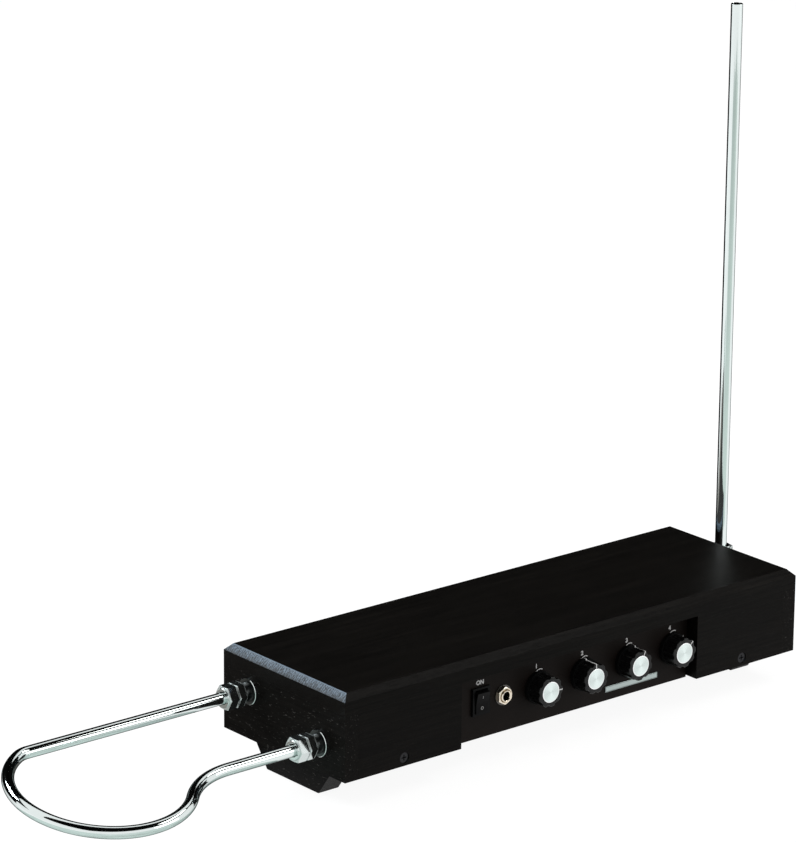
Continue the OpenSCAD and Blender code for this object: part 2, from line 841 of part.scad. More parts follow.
module pitch_leads() {
    z = pcb_top + lead_r + lead_gap;
    color([0.7, 0.15, 0.12]) {
        lead([
            [pcb_x + pcb_l / 2 - 6, choke_y, z], [pcb_x + pcb_l / 2 + 2, choke_y, z + 1],
            [pitch_choke_x - 5, choke_y, choke_z], [pitch_choke_x - lead_gap, choke_y, choke_z]
        ]);
        lead([
            [pitch_last + lead_gap, choke_y, choke_z], [pitch_last + 3, choke_y, choke_z],
            [pitch_last + 7, (choke_y + rod_back) / 2, choke_z + 1],
            [pitch_tab[0] - 5, rod_back, pitch_tab[2]], pitch_tab
        ]);
    }
}

module volume_leads() {
    z = pcb_top + lead_r + lead_gap;
    color([0.15, 0.3, 0.7]) {
        lead([
            [pcb_x - pcb_l / 2 + 6, choke_y, z], [pcb_x - pcb_l / 2 - 2, choke_y, z + 1],
            [volume_choke_x + choke_l + 5, choke_y, choke_z],
            [volume_choke_x + choke_l + lead_gap, choke_y, choke_z]
        ]);
        lead([
            [volume_last - lead_gap, choke_y, choke_z], [volume_last - 4, choke_y, choke_z],
            [(volume_last + volume_tab[0]) / 2, (choke_y + volume_tab[1]) / 2, choke_z + 4],
            [volume_tab[0] + 6, volume_tab[1], volume_tab[2]], volume_tab
        ]);
    }
}

module panel_leads() {
    inlet_end = back_y - inlet_l - lead_gap;
    switch_end = panel_y + switch_body_d + switch_tab_l + lead_gap;
    jack_end = base_front + jack_case_d + jack_tab_l + lead_gap;
    color([0.75, 0.72, 0.2]) {
        lead([
            [inlet_x, inlet_end, inlet_z], [inlet_x, inlet_end - 6, inlet_z],
            [inlet_x + 4, inlet_end - 14, 44], [inlet_x + 14, 0, 46], [switch_x - 8, -20, 44],
            [switch_x, switch_end + 6, switch_z + 6], [switch_x, switch_end, switch_z + 6]
        ]);
        lead([
            [switch_x, switch_end, switch_z], [switch_x, switch_end + 4, switch_z],
            [switch_x, switch_end + 9, pcb_top + 6], [switch_x, switch_end + 9, pcb_top + lead_gap]
        ]);
        lead([
            [jack_x + 6, jack_end, jack_z], [jack_x + 6, jack_end + 4, jack_z],
            [jack_x + 6, jack_end + 9, pcb_top + 6], [jack_x + 6, jack_end + 9, pcb_top + lead_gap]
        ]);
    }
}

// ---------- antenna fittings, along +Z out of the wood ----------

module fitting_body() {
    difference() {
        union() {
            translate([0, 0, -stem_back]) cylinder(h = stem_back + fit_neck + eps, r = stem_r);
            translate([0, 0, fit_neck]) hex(hex_af, fit_hex);
            translate([0, 0, fit_neck + fit_hex - eps]) cylinder(h = fit_nose_l + eps, r = fit_nose_r);
        }
        translate([0, 0, tube_in - 0.3]) cylinder(h = nose_end, r = bore_r);
    }
}

// The nut that squeezes the ferrule, from its open side to its lip
module squeeze_nut(start, end) {
    difference() {
        union() {
            translate([0, 0, start]) hex(hex_af, end - start - nut_collar_l);
            translate([0, 0, end - nut_collar_l - eps]) cylinder(h = nut_collar_l + eps, r = nut_collar_r);
        }
        translate([0, 0, start - 1])
            cylinder(h = end - start - nut_lip + 1, r = fit_nose_r + shaft_clear);
        translate([0, 0, start - 1]) cylinder(h = end - start + 2, r = bore_r);
    }
}

module ferrule(start, end) {
    difference() {
        translate([0, 0, start + ferrule_clear])
            cylinder(h = end - start - 2 * ferrule_clear, r = ferrule_r);
        translate([0, 0, start - 1]) cylinder(h = end - start + 2, r = tube_r + 0.02);
    }
}

module volume_fittings() {
    color(nickel) at_loop_holes() fitting_body();
}

module antenna_washers() {
    color(nickel) {
        at_loop_holes() ring(washer_r, stem_r + shaft_clear, fit_washer_t);
        at_rod_hole() ring(washer_r, stem_r + shaft_clear, fit_washer_t);
    }
}

module locknut() {
    translate([0, 0, -board_t - locknut_t]) difference() {
        rotate([0, 0, 30]) hex(hex_af, locknut_t);
        translate([0, 0, -1]) cylinder(h = locknut_t + 2, r = stem_r + shaft_clear);
    }
}

module antenna_locknuts() {
    color(nickel) {
        at_loop_holes() locknut();
        at_rod_hole() locknut();
    }
}

module volume_nuts() {
    color(nickel) at_loop_holes() squeeze_nut(nut_start, fitting_l);
}

module volume_ferrules() {
    color(brass) at_loop_holes() ferrule(nose_end, fitting_l - nut_lip);
}

// The loop's bar of radius r, in its own plane, with the legs along X; each stretch is a hair
// thicker than the one before and takes its end in
module loop_bar(r) {
    translate([corner_x - loop_lap, leg_y, 0]) rotate([0, 90, 0])
        cylinder(h = leg_start - corner_x + loop_lap, r = r);
    translate([corner_x, leg_y - corner_r, 0]) rotate([0, 0, 90])
        rotate_extrude(angle = corner_turn + loop_lap_turn)
            translate([corner_r, 0]) circle(r = r + loop_step);
    translate([loop_centre_x, -loop_drop, 0]) rotate([0, 0, 90 + corner_turn])
        rotate_extrude(angle = 180 - corner_turn + neck_turn)
            translate([loop_r, 0]) circle(r = r + 2 * loop_step);
    translate([neck_x, -leg_y - neck_r, 0]) rotate([0, 0, 90])
        rotate_extrude(angle = neck_turn + loop_lap_turn)
            translate([neck_r, 0]) circle(r = r + loop_step);
    translate([neck_x - loop_lap, -leg_y, 0]) rotate([0, 90, 0])
        cylinder(h = leg_start - neck_x + loop_lap, r = r);
}

module loop_tube() {
    color(nickel) translate([0, 0, loop_z]) rotate([loop_tilt, 0, 0]) difference() {
        loop_bar(tube_r);
        loop_bar(tube_r - tube_wall);
    }
}

module pitch_elbow() {
    color(nickel) difference() {
        union() {
            at_rod_hole() {
                translate([0, 0, -stem_back]) cylinder(h = stem_back + rod_out, r = stem_r);
                translate([0, 0, rod_out - elbow_r - 6.5]) hex(hex_af, 6);
            }
            translate([rod_x, rod_back, elbow_z]) {
                sphere(r = elbow_r);
                cylinder(h = elbow_nose, r = stem_r);
                translate([0, 0, elbow_hex]) hex(hex_af, elbow_nose - elbow_hex);
                translate([0, 0, elbow_nose - eps]) cylinder(h = fit_nose_l + eps, r = fit_nose_r);
            }
        }
        translate([rod_x, rod_back, rod_start - 0.3]) cylinder(h = 30, r = bore_r);
    }
}

module pitch_nut() {
    color(nickel) translate([rod_x, rod_back, elbow_z])
        squeeze_nut(elbow_nose + nut_gap, elbow_nose + nut_gap + fitting_l - nut_start);
}

module pitch_ferrule() {
    color(brass) translate([rod_x, rod_back, elbow_z])
        ferrule(elbow_nose + fit_nose_l, elbow_nose + nut_gap + fitting_l - nut_start - nut_lip);
}

module pitch_rod() {
    color(nickel) translate([rod_x, rod_back, rod_start])
        ring(tube_r, tube_r - tube_wall, rod_top - rod_start);
}

// ---------- stand ----------

module stand_flange() {
    color([0.25, 0.25, 0.27]) difference() {
        union() {
            translate([0, 0, -stand_plate_t]) cylinder(h = stand_plate_t, r = stand_plate_r);
            translate([0, 0, -stand_collar_l]) cylinder(h = stand_collar_l + stand_hub_l, r = stand_collar_r);
        }
        translate([0, 0, -stand_collar_l - 1])
            cylinder(h = stand_collar_l + stand_hub_l + 2, r = stand_r);
        at_stand_screws() screw_shape(base_screw_l, screw_clear);
    }
}

top_board();
left_end_board();
right_end_board();
back_board();
front_left_rail();
front_right_rail();
base_board();
left_cleat();
right_cleat();
base_screws();
cover_screws();
front_panel();
blank_strip();
switch_body();
switch_rocker();
jack_body();
jack_nut();
panel_washers();
pot_nuts();
volume_pot();
pitch_pot();
waveform_pot();
brightness_pot();
volume_shaft();
pitch_shaft();
waveform_shaft();
brightness_shaft();
volume_knob();
pitch_knob();
waveform_knob();
brightness_knob();
volume_disc();
pitch_disc();
waveform_disc();
brightness_disc();
circuit_board();
board_standoffs();
board_screws();
chips();
capacitors();
tuning_coils();
regulator();
pitch_chokes();
volume_chokes();
power_inlet();
pitch_leads();
volume_leads();
panel_leads();
volume_fittings();
antenna_washers();
antenna_locknuts();
volume_nuts();
volume_ferrules();
loop_tube();
pitch_elbow();
pitch_nut();
pitch_ferrule();
pitch_rod();
stand_flange();
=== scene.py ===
from math import asin, atan, atan2, cos, hypot, pi, radians, sin, sqrt

import bmesh
import bpy
from bpy.props import FloatProperty, FloatVectorProperty, IntProperty, PointerProperty
from mathutils import Matrix, Vector


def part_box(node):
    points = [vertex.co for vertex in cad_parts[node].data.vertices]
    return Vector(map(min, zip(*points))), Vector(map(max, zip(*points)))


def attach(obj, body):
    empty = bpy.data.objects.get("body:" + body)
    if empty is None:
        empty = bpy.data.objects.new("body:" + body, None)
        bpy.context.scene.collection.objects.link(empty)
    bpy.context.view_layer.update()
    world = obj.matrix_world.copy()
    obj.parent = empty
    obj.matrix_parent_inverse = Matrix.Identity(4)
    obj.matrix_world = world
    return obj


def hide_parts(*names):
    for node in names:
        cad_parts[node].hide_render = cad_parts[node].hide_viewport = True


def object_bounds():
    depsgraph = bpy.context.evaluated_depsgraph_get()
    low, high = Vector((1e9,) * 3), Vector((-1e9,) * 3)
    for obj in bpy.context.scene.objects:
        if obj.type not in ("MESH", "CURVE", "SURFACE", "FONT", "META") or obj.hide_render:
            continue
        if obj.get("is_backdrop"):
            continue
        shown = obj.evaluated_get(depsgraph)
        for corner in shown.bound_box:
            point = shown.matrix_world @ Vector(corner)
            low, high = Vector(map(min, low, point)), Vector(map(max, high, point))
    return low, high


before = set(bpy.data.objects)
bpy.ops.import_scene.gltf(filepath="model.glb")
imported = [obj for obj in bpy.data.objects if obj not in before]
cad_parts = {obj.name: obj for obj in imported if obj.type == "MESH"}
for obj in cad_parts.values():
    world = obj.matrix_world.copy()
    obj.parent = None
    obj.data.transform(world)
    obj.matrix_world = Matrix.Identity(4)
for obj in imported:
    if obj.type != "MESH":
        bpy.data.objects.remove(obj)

bl_info = {
    "name": "Dressed theremin",
    "version": (1, 0, 0),
    "blender": (4, 5, 0),
    "location": "View3D > Sidebar > Theremin",
    "description": "Dresses the packed theremin: stained wood, chrome antennas, knobs, panel and studio",
    "category": "Object",
}


# ---------- settings ----------

def length(name, text, default):
    return FloatProperty(name=name, description=text, default=default, subtype="DISTANCE", unit="LENGTH")


def tint(name, text, default):
    return FloatVectorProperty(name=name, description=text, default=default, size=3, subtype="COLOR")


class ThereminSizes(bpy.types.PropertyGroup):
    """Sizes of the dressed pieces, in metres where they are lengths."""
    board_round: length("Board edge", "Rounding of the boards' edges", 0.0001)
    metal_round: length("Metal edge", "Rounding of the stand flange's edges", 0.00025)
    flutes: IntProperty(name="Flutes", description="Flutes round a knob", default=9, min=6, max=24)
    flute_radius: length("Flute radius", "Radius of a knob's flute", 0.0032)
    flute_depth: length("Flute depth", "Depth of a knob's flute", 0.0012)
    pointer_width: length("Pointer width", "Width of a knob's white line", 0.0009)
    thread_pitch: length("Thread pitch", "Pitch of the fittings' threads", 0.0013)
    figure_height: length("Figure height", "Height of the panel's figures", 0.0033)
    tube_sides: IntProperty(name="Tube sides", description="Sides of the antenna tubes", default=64, min=16)


class ThereminLooks(bpy.types.PropertyGroup):
    """Colours of the dressed pieces."""
    wood_dark: tint("Wood dark", "Stained wood between its pores", (0.0026, 0.0022, 0.0019))
    wood_light: tint("Wood light", "Stained wood where the grain is worn", (0.0150, 0.0130, 0.0110))
    scuff: tint("Scuffs", "Rubbed spots on the boards of the two ends", (0.085, 0.080, 0.075))
    # Blue-grey end grain on the end bevels: the cut fibres, lightened and tinted by a painted reflection of
    # the bluish lamp behind
    end_grain_and_sheen: tint("End grain", "Cut fibres on the bevels of the two ends", (0.150, 0.205, 0.265))
    panel: tint("Panel", "Powder coat of the panel", (0.0085, 0.0062, 0.0052))
    knob: tint("Knob", "Black plastic of the knobs", (0.0040, 0.0040, 0.0042))
    disc: tint("Disc", "Spun aluminium of the knobs' discs", (0.80, 0.89, 0.87))
    chrome: tint("Chrome", "Plating of the antennas", (0.78, 0.84, 0.83))
    marks: tint("Marks", "White print and pointer lines", (0.86, 0.86, 0.85))
    gold: tint("Socket plating", "Warm nickel of the output socket", (0.80, 0.72, 0.60))


def sizes():
    return bpy.context.scene.theremin_sizes


def looks():
    return bpy.context.scene.theremin_looks


# ---------- node helpers ----------

def feed(tree, socket, value):
    """Gives a socket a number, a vector or a colour, or joins another socket to it."""
    if hasattr(value, "is_linked"):
        tree.links.new(value, socket)
    elif isinstance(value, (int, float)):
        socket.default_value = value
    else:
        socket.default_value = [*value, 1.0][:len(socket.default_value)]


def toned(colour, factor):
    """A colour made lighter or darker by a factor."""
    return [c * factor for c in colour]


def add_math(tree, kind, a, b=0):
    """Adds a math node to a node tree. a and b are numbers or sockets."""
    node = tree.nodes.new("ShaderNodeMath")
    node.operation = kind
    for socket, value in zip(node.inputs, (a, b)):
        feed(tree, socket, value)
    return node.outputs[0]


def shown_to(tree):
    """1 for the rays of the camera, reflections and glass, and 0 for the light on matt surfaces."""
    path = tree.nodes.new("ShaderNodeLightPath").outputs
    either = add_math(tree, "MAXIMUM", path["Is Camera Ray"], path["Is Glossy Ray"])
    return add_math(tree, "MAXIMUM", either, path["Is Transmission Ray"])


class Tree:
    """A material's node tree with short ways to add and join nodes."""

    def __init__(self, name):
        self.mat = bpy.data.materials.new(name)
        self.mat.use_nodes = True
        self.nt = self.mat.node_tree
        self.bsdf = self.nt.nodes["Principled BSDF"]
        self.coords = self.add("ShaderNodeTexCoord", "Object")

    def add(self, kind, output, inputs=None, **values):
        """Adds a node, gives it its inputs and returns one of its outputs."""
        node = self.nt.nodes.new(kind)
        for key, value in values.items():
            setattr(node, key, value)
        for key, value in (inputs or {}).items():
            feed(self.nt, node.inputs[key], value)
        return node.outputs[output]

    def split(self, vector):
        """The X, Y and Z of a vector."""
        return self.add("ShaderNodeSeparateXYZ", 0, {0: vector}).node.outputs

    def stretched(self, scale):
        """Object coordinates in millimetres, multiplied by scale."""
        inputs = {"Vector": self.coords, "Scale": [s * 1000 for s in scale]}
        return self.add("ShaderNodeMapping", "Vector", inputs)

    def noise(self, vector, detail=4.0, rough=0.55, distort=0.0):
        inputs = {"Vector": vector, "Scale": 1.0, "Detail": detail, "Roughness": rough, "Distortion": distort}
        return self.add("ShaderNodeTexNoise", "Fac", inputs)

    def span(self, value, low, high, to_low=0.0, to_high=1.0):
        inputs = {"Value": value, "From Min": low, "From Max": high, "To Min": to_low, "To Max": to_high}
        return self.add("ShaderNodeMapRange", "Result", inputs)

    def math(self, kind, a, b=0):
        return add_math(self.nt, kind, a, b)

    def times(self, a, b):
        return self.math("MULTIPLY", a, b)

    def plus(self, a, b):
        return self.math("ADD", a, b)

    def mix(self, factor, a, b):
        return self.add("ShaderNodeMix", 2, {0: factor, 6: a, 7: b}, data_type="RGBA")

    def set(self, socket, value):
        feed(self.nt, self.bsdf.inputs[socket], value)

    def bump(self, height, distance, strength):
        inputs = {"Height": height, "Distance": distance, "Strength": strength}
        self.set("Normal", self.add("ShaderNodeBump", "Normal", inputs))


def wood(name, grain, tone=1.0):
    """Black-stained open-grained wood with its grain along axis number grain."""
    t = Tree(name)
    look = looks()

    def along(across, lengthwise):
        return [lengthwise if axis == grain else across for axis in range(3)]

    streaks = t.noise(t.stretched(along(0.55, 0.012)), detail=6, rough=0.62, distort=0.6)
    fine = t.noise(t.stretched(along(2.6, 0.05)), detail=3, rough=0.6)
    pores = t.noise(t.stretched(along(3.4, 0.11)), detail=2, rough=0.5)
    broad = t.noise(t.stretched(along(0.03, 0.006)), detail=2)
    grained = t.times(t.span(streaks, 0.36, 0.72), t.span(fine, 0.35, 0.75, 0.35, 1.0))
    grained = t.times(grained, t.span(broad, 0.3, 0.7, 0.55, 1.0))
    colour = t.mix(grained, toned(look.wood_dark, tone), toned(look.wood_light, tone))
    open_pore = t.span(pores, 0.60, 0.70)
    colour = t.mix(open_pore, colour, toned(look.wood_dark, 0.35))
    if grain == 1:
        rubbed = t.noise(t.stretched(along(0.75, 0.22)), detail=3, distort=0.8)
        colour = t.mix(t.span(rubbed, 0.635, 0.70), colour, look.scuff)
    # The end bevels get a painted reflection: a bright blue-grey colour mixed into the base colour through
    # the saw marks
    bevel_mask = end_bevel(t)
    colour = t.mix(t.times(saw_comb_and_highlight(t), bevel_mask), colour, look.end_grain_and_sheen)
    t.set("Base Color", colour)
    rough = t.plus(t.span(fine, 0.3, 0.7, 0.34, 0.42), t.times(open_pore, 0.25))
    t.set("Roughness", t.math("SUBTRACT", rough, t.times(bevel_mask, 0.14)))
    t.set("Specular IOR Level", 0.045)
    relief = t.math("SUBTRACT", t.times(grained, 0.35), open_pore)
    t.bump(relief, 0.00010, 0.5)
    return t.mat


def end_bevel(t):
    """1 on the bevels of the two ends, which lean out along X and up, and 0 elsewhere."""
    x, _, z = t.split(t.add("ShaderNodeNewGeometry", "Normal"))
    lean = t.times(t.math("ABSOLUTE", x), z)
    return t.span(lean, 0.36, 0.44)


def saw_comb_and_highlight(t):
    """The fibres that a saw leaves on a bevel: wavering teeth and frayed, with a painted highlight that grows
    lighter towards the top and a painted highlight line along the top edge.
    """
    _, y, z = t.split(t.coords)
    waver = t.times(t.noise(t.stretched((0.1, 0.35, 0.1)), detail=3), 14.0)
    teeth = t.math("SINE", t.plus(t.times(y, 2 * pi / SAW_TOOTH), waver))
    frayed = t.noise(t.stretched((0.45, 0.9, 0.45)), detail=5, rough=0.8)
    comb = t.times(t.span(teeth, -1, 1, 0.35, 1.1), t.span(frayed, 0.42, 0.60, 0.12, 1.9))
    # Painted highlight: the teeth grow lighter towards the bevel's top
    comb = t.times(comb, t.span(z, TOP_Z - 0.0051, TOP_Z - 0.0008, 0.25, 1.25))
    # Painted highlight: a thin bright line along the bevel's top edge
    return t.plus(comb, t.span(z, TOP_Z - 0.0007, TOP_Z - 0.0003))


def coated(name, colour, rough=0.5, specular=0.14, grain=1.6, relief=0.00003):
    """Powder coat or moulded plastic with a fine even texture."""
    t = Tree(name)
    skin = t.noise(t.stretched([grain] * 3), detail=3, rough=0.6)
    broad = t.noise(t.stretched([0.04] * 3), detail=2)
    t.set("Base Color", t.mix(t.span(broad, 0.3, 0.7), toned(colour, 0.88), toned(colour, 1.12)))
    t.set("Roughness", t.span(skin, 0.3, 0.7, rough - 0.06, rough + 0.06))
    t.set("Specular IOR Level", specular)
    t.bump(skin, relief, 0.6)
    return t.mat


def printed(name, colour, rough=0.6):
    """Thin paint with hardly any texture."""
    return coated(name, colour, rough=rough, specular=0.3, relief=0.000005)


def plated(name, colour, rough=0.09, axis=0, scratch=0.00001, cloud=0.03, edge=1.0):
    """Polished plate with faint hairlines along one axis and a slight cloudiness.
    edge is how much of its shine stays where the surface turns away."""
    t = Tree(name)
    lines = t.noise(t.stretched([0.004 if a == axis else 1.5 for a in range(3)]), detail=2)
    clouds = t.noise(t.stretched([0.06] * 3), detail=3)
    t.set("Base Color", t.mix(t.span(clouds, 0.3, 0.7), toned(colour, 0.96), colour))
    t.set("Metallic", 1.0)
    t.set("Specular Tint", (edge, edge, edge))
    t.set("Roughness", t.span(clouds, 0.3, 0.7, max(rough - cloud, 0.02), rough + cloud))
    t.bump(lines, scratch, 0.4)
    return t.mat


def turned(name, colour):
    """Spun metal with fine rings round the axis of each knob, a painted sheen in two opposite bright wedges,
    and a bright outer ring.
    """
    t = Tree(name)
    x, _, z = t.split(t.coords)
    x = t.math("SUBTRACT", x, KNOB_X[0])
    nearest = t.times(t.math("ROUND", t.math("DIVIDE", x, KNOB_PITCH)), KNOB_PITCH)
    x = t.math("SUBTRACT", x, nearest)
    z = t.math("SUBTRACT", z, KNOB_Z)
    radius = t.math("SQRT", t.plus(t.times(x, x), t.times(z, z)))
    angle = t.math("ARCTAN2", z, x)
    rings = t.math("SINE", t.times(radius, 2 * pi / RING_PITCH))
    # Painted sheen: two opposite bright wedges across the disc, standing in for the light caught by the spun
    # rings
    painted_sheen_fan = t.math("SINE", t.plus(t.times(angle, 2.0), -1.9))
    clouds = t.noise(t.stretched([0.5] * 3), detail=3)
    sheen_and_clouds = t.plus(t.times(t.span(painted_sheen_fan, -1, 1), 0.75), t.times(clouds, 0.25))
    sheened = t.mix(sheen_and_clouds, toned(colour, 0.76), colour)
    rim = t.span(radius, DISC_R - 0.0009, DISC_R - 0.0004)
    t.set("Base Color", t.mix(rim, sheened, (0.92, 0.93, 0.93)))
    t.set("Metallic", 1.0)
    t.set("Roughness", t.span(rings, -1, 1, 0.15, 0.25))
    t.bump(rings, 0.000004, 0.3)
    return t.mat


# ---------- mesh helpers ----------

CREASE = radians(33)  # edges that bend more than this stay sharp
FACET = radians(18)  # the same for the fittings' hexagons


def add_object(name, data):
    """Makes an object and links it to the scene."""
    obj = bpy.data.objects.new(name, data)
    bpy.context.scene.collection.objects.link(obj)
    return obj


def rotated(degrees, axis):
    return Matrix.Rotation(radians(degrees), 4, axis)


def finish_mesh(bm, name, mats, turn=Matrix.Identity(4), sharp=CREASE):
    """Makes the bmesh an object at the origin with smooth faces and sharp creases."""
    bmesh.ops.remove_doubles(bm, verts=bm.verts, dist=1e-7)
    bmesh.ops.transform(bm, matrix=turn, verts=bm.verts)
    bmesh.ops.recalc_face_normals(bm, faces=bm.faces)
    for face in bm.faces:
        face.smooth = True
    for edge in bm.edges:
        edge.smooth = len(edge.link_faces) == 2 and edge.calc_face_angle(0) < sharp
    mesh = bpy.data.meshes.new(name)
    bm.to_mesh(mesh)
    bm.free()
    obj = add_object(name, mesh)
    for mat in mats:
        mesh.materials.append(mat)
    normals = obj.modifiers.new("Weighted normals", "WEIGHTED_NORMAL")
    normals.keep_sharp = True
    return obj


def lathe(bm, rows, steps, shape=None, closed=False, turn=None, slot=0):
    """Spins a profile of (z, r) rows round Z; shape(angle, z, r) may then change a radius."""
    old_verts, old_faces = set(bm.verts), set(bm.faces)
    profile = [bm.verts.new((r, 0, z)) for z, r in rows]
    lines = [bm.edges.new(pair) for pair in zip(profile, profile[1:])]
    if closed:
        lines.append(bm.edges.new((profile[-1], profile[0])))
    bmesh.ops.spin(bm, geom=profile + lines, cent=(0, 0, 0), axis=(0, 0, 1), angle=2 * pi,
                   steps=steps, use_merge=True)
    made = [v for v in bm.verts if v not in old_verts]
    if shape:
        for v in made:
            r = hypot(v.co.x, v.co.y)
            if r > 1e-6:
                scale = shape(atan2(v.co.y, v.co.x), v.co.z, r) / r
                v.co.x *= scale
                v.co.y *= scale
    for face in bm.faces:
        if face not in old_faces:
            face.material_index = slot(face.calc_center_median()) if callable(slot) else slot
    if turn is not None:
        bmesh.ops.transform(bm, matrix=turn, verts=made)


def lathed(name, rows, steps, mats, place, shape=None, closed=True, slot=0, sharp=CREASE):
    """An object of one lathed profile."""
    bm = bmesh.new()
    lathe(bm, rows, steps, shape, closed, slot=slot)
    return finish_mesh(bm, name, mats, place, sharp)


def sweep(bm, ends, start, angle, steps):
    """Spins a line between two points round Z, with its start and angle in degrees."""
    line = [bm.verts.new(rotated(start, "Z") @ Vector(end)) for end in ends]
    bmesh.ops.spin(bm, geom=line + [bm.edges.new(line)], cent=(0, 0, 0), axis=(0, 0, 1),
                   angle=radians(angle), steps=steps)


def verts_of(made):
    """The vertices that an operator of bmesh has made."""
    return [g for g in made["geom"] if isinstance(g, bmesh.types.BMVert)]


def rim_of(verts):
    """The edges that run between the given vertices."""
    return list({e for v in verts for e in v.link_edges if e.other_vert(v) in verts})


class Bar:
    """A round bar that grows from a circle by straight runs and bends."""

    def __init__(self, bm, start, heading, radius, sides):
        self.bm = bm
        turn = Vector(heading).to_track_quat("Z", "Y").to_matrix().to_4x4()
        made = bmesh.ops.create_circle(bm, cap_ends=True, segments=sides, radius=radius,
                                       matrix=Matrix.Translation(start) @ turn)
        self.rim = rim_of(set(made["verts"]))

    def run(self, way, pieces=1):
        for _ in range(pieces):
            verts = verts_of(bmesh.ops.extrude_edge_only(self.bm, edges=self.rim))
            bmesh.ops.translate(self.bm, vec=Vector(way) / pieces, verts=verts)
            self.rim = rim_of(set(verts))

    def bend(self, centre, axis, angle, steps):
        made = bmesh.ops.spin(self.bm, geom=self.rim, cent=centre, axis=axis, angle=angle, steps=steps)
        self.rim = [g for g in made["geom_last"] if isinstance(g, bmesh.types.BMEdge)]

    def close(self):
        bmesh.ops.holes_fill(self.bm, edges=self.rim, sides=0)


def raise_face(bm, outline, low, high):
    """Draws one face over (x, y) points and extrudes it from low to high."""
    face = bm.faces.new([bm.verts.new((x, y, low)) for x, y in outline])
    made = bmesh.ops.extrude_face_region(bm, geom=[face])
    bmesh.ops.translate(bm, vec=(0, 0, high - low), verts=verts_of(made))


def oblong(left, low, right, high):
    """The corners of a rectangle."""
    return [(left, low), (right, low), (right, high), (left, high)]


def round_edges(bm, size, edges=None):
    bmesh.ops.bevel(bm, geom=edges or bm.edges[:], offset=size, segments=2, affect="EDGES",
                    profile=0.5, material=-1)


def hexed(af):
    """A shape for lathe that turns a round body into a hexagon of width af across its flats."""
    def radius(a, z, r):
        if r < af / 2 * 0.9:
            return r
        return min(r, af / 2 / cos((a + pi / 6) % (pi / 3) - pi / 6))
    return radius


def threaded(top, depth, pitch):
    """A shape for lathe that cuts a thread into rows of radius top."""
    def radius(a, z, r):
        if abs(r - top) > 1e-6:
            return r
        return r - depth * abs(2 * ((z / pitch + a / (2 * pi)) % 1.0) - 1)
    return radius


def node_box(node):
    low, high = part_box(node)
    return Vector(low), Vector(high)


def middle(node):
    low, high = node_box(node)
    return (low + high) / 2


def out_of_panel(x, z):
    """Turns +Z to point out of the panel, with +Y up, at x and z on its face."""
    return Matrix.Translation((x, PANEL_Y, z)) @ rotated(90, "X")


# ---------- the model's own places, in metres, as in the frame ----------

KNOBS = ("volume", "pitch", "waveform", "brightness")
TURNS = (90, 0, 22, 47)  # each knob's pointer at rest, in degrees clockwise from straight up
PANEL_Y = node_box("front_panel")[0].y
KNOB_X = [middle(k + "_disc").x for k in KNOBS]
KNOB_Z = middle("volume_disc").z
KNOB_PITCH = KNOB_X[1] - KNOB_X[0]
KNOB_LOW, KNOB_HIGH = node_box("pitch_knob")
DEPTH = KNOB_HIGH.y - KNOB_LOW.y  # from a knob's back to its face
SKIRT_R = (KNOB_HIGH.x - KNOB_LOW.x) / 2
SKIRT_H = 0.003
KNOB_R = SKIRT_R - 0.001
DISC_R = node_box("pitch_disc")[1].x - KNOB_X[1]
END_X = node_box("top_board")[1].x
TOP_Z = node_box("top_board")[1].z
ROD_X = middle("pitch_rod").x
ROD_Y = middle("pitch_rod").y
ELBOW_Z = 0.026  # height of the hole for the rod's elbow
LOOP_Z = 0.0304  # height midway between the loop's legs
LOOP_TILT = radians(10.5)
LEG_Y = 0.043  # half the distance between the loop's legs
FITTINGS = [
    Matrix.Translation((-END_X, y * cos(LOOP_TILT), LOOP_Z + y * sin(LOOP_TILT))) @ rotated(-90, "Y")
    for y in (-LEG_Y, LEG_Y)
]

# ---------- sizes, in metres, and light ----------

TUBE_R = 0.00475  # the antennas' 3/8 in tube
BORE_R = 0.00483  # the bore that the tube slides in
NOSE_R = 0.007  # the nose inside a squeeze nut
STEM_R = 0.0075  # the fittings' threaded stem
STEM_BACK = -0.0197  # the stem's inner end, behind the wood's face
HEX_AF = 0.0175  # the fittings' hexagons, across their flats
HEX_STEPS = 144
CHAMFER = 0.00084  # how far a hexagon's turned corners reach along it
FIGURE_Z = 0.0418  # foot of the panel's figures
ARC_Z = 0.0354  # centre of the arcs under the figures
SAW_TOOTH = 0.0024  # pitch of the saw's marks on the end bevels
RING_PITCH = 0.00033  # pitch of the rings on the knobs' discs
SLEEVE_R = 0.0047  # the output socket's threaded sleeve
PLUG_R = 0.00325  # the hole for a plug
SLEEVE_BACK = -0.0022  # where the sleeve starts, behind the panel's face
KEY_REACH = 0.0085  # from the rocker's middle to its ends
KEY_FACE = -0.0058  # the rocker's face, in front of its pivot
KEY_HOLLOW = 0.0009  # how far the face's ends stand out
KEY_CURVE = 1.6

BRASS = (0.7, 0.52, 0.25)
ZINC = (0.6, 0.6, 0.61)
LIGHT_LEVEL = 0.6  # the world's light on matt surfaces
PAPER_GLOW = 0.92  # the floor's own white
CLOTH_R = 2.6  # the cloth round the back
CLOTH_TOP = 2.2
CEILING = 3.2  # half the width of the cloth overhead
FOCAL_PX = 4407.76  # the camera's focal length, in pixels
PICTURE_PX = 842  # height of the picture
FILM = 36.0

# name, place, what it is aimed at, width, height, watts, colour
LAMPS = (
    ("bevel_light", (-0.875, 1.62, 1.405), (-0.226, 0.0, 0.065), 0.9, 0.5, 30, (0.88, 0.95, 1.0)),
    ("strip_light", (1.2, -0.55, 1.55), (0.0, 0.0, 0.03), 1.3, 0.3, 9, (1.0, 0.99, 0.96)),
    ("front_light", (1.75, -2.15, 0.7), (0.0, 0.0, 0.03), 1.7, 1.1, 12, (1.0, 1.0, 1.0)),
)


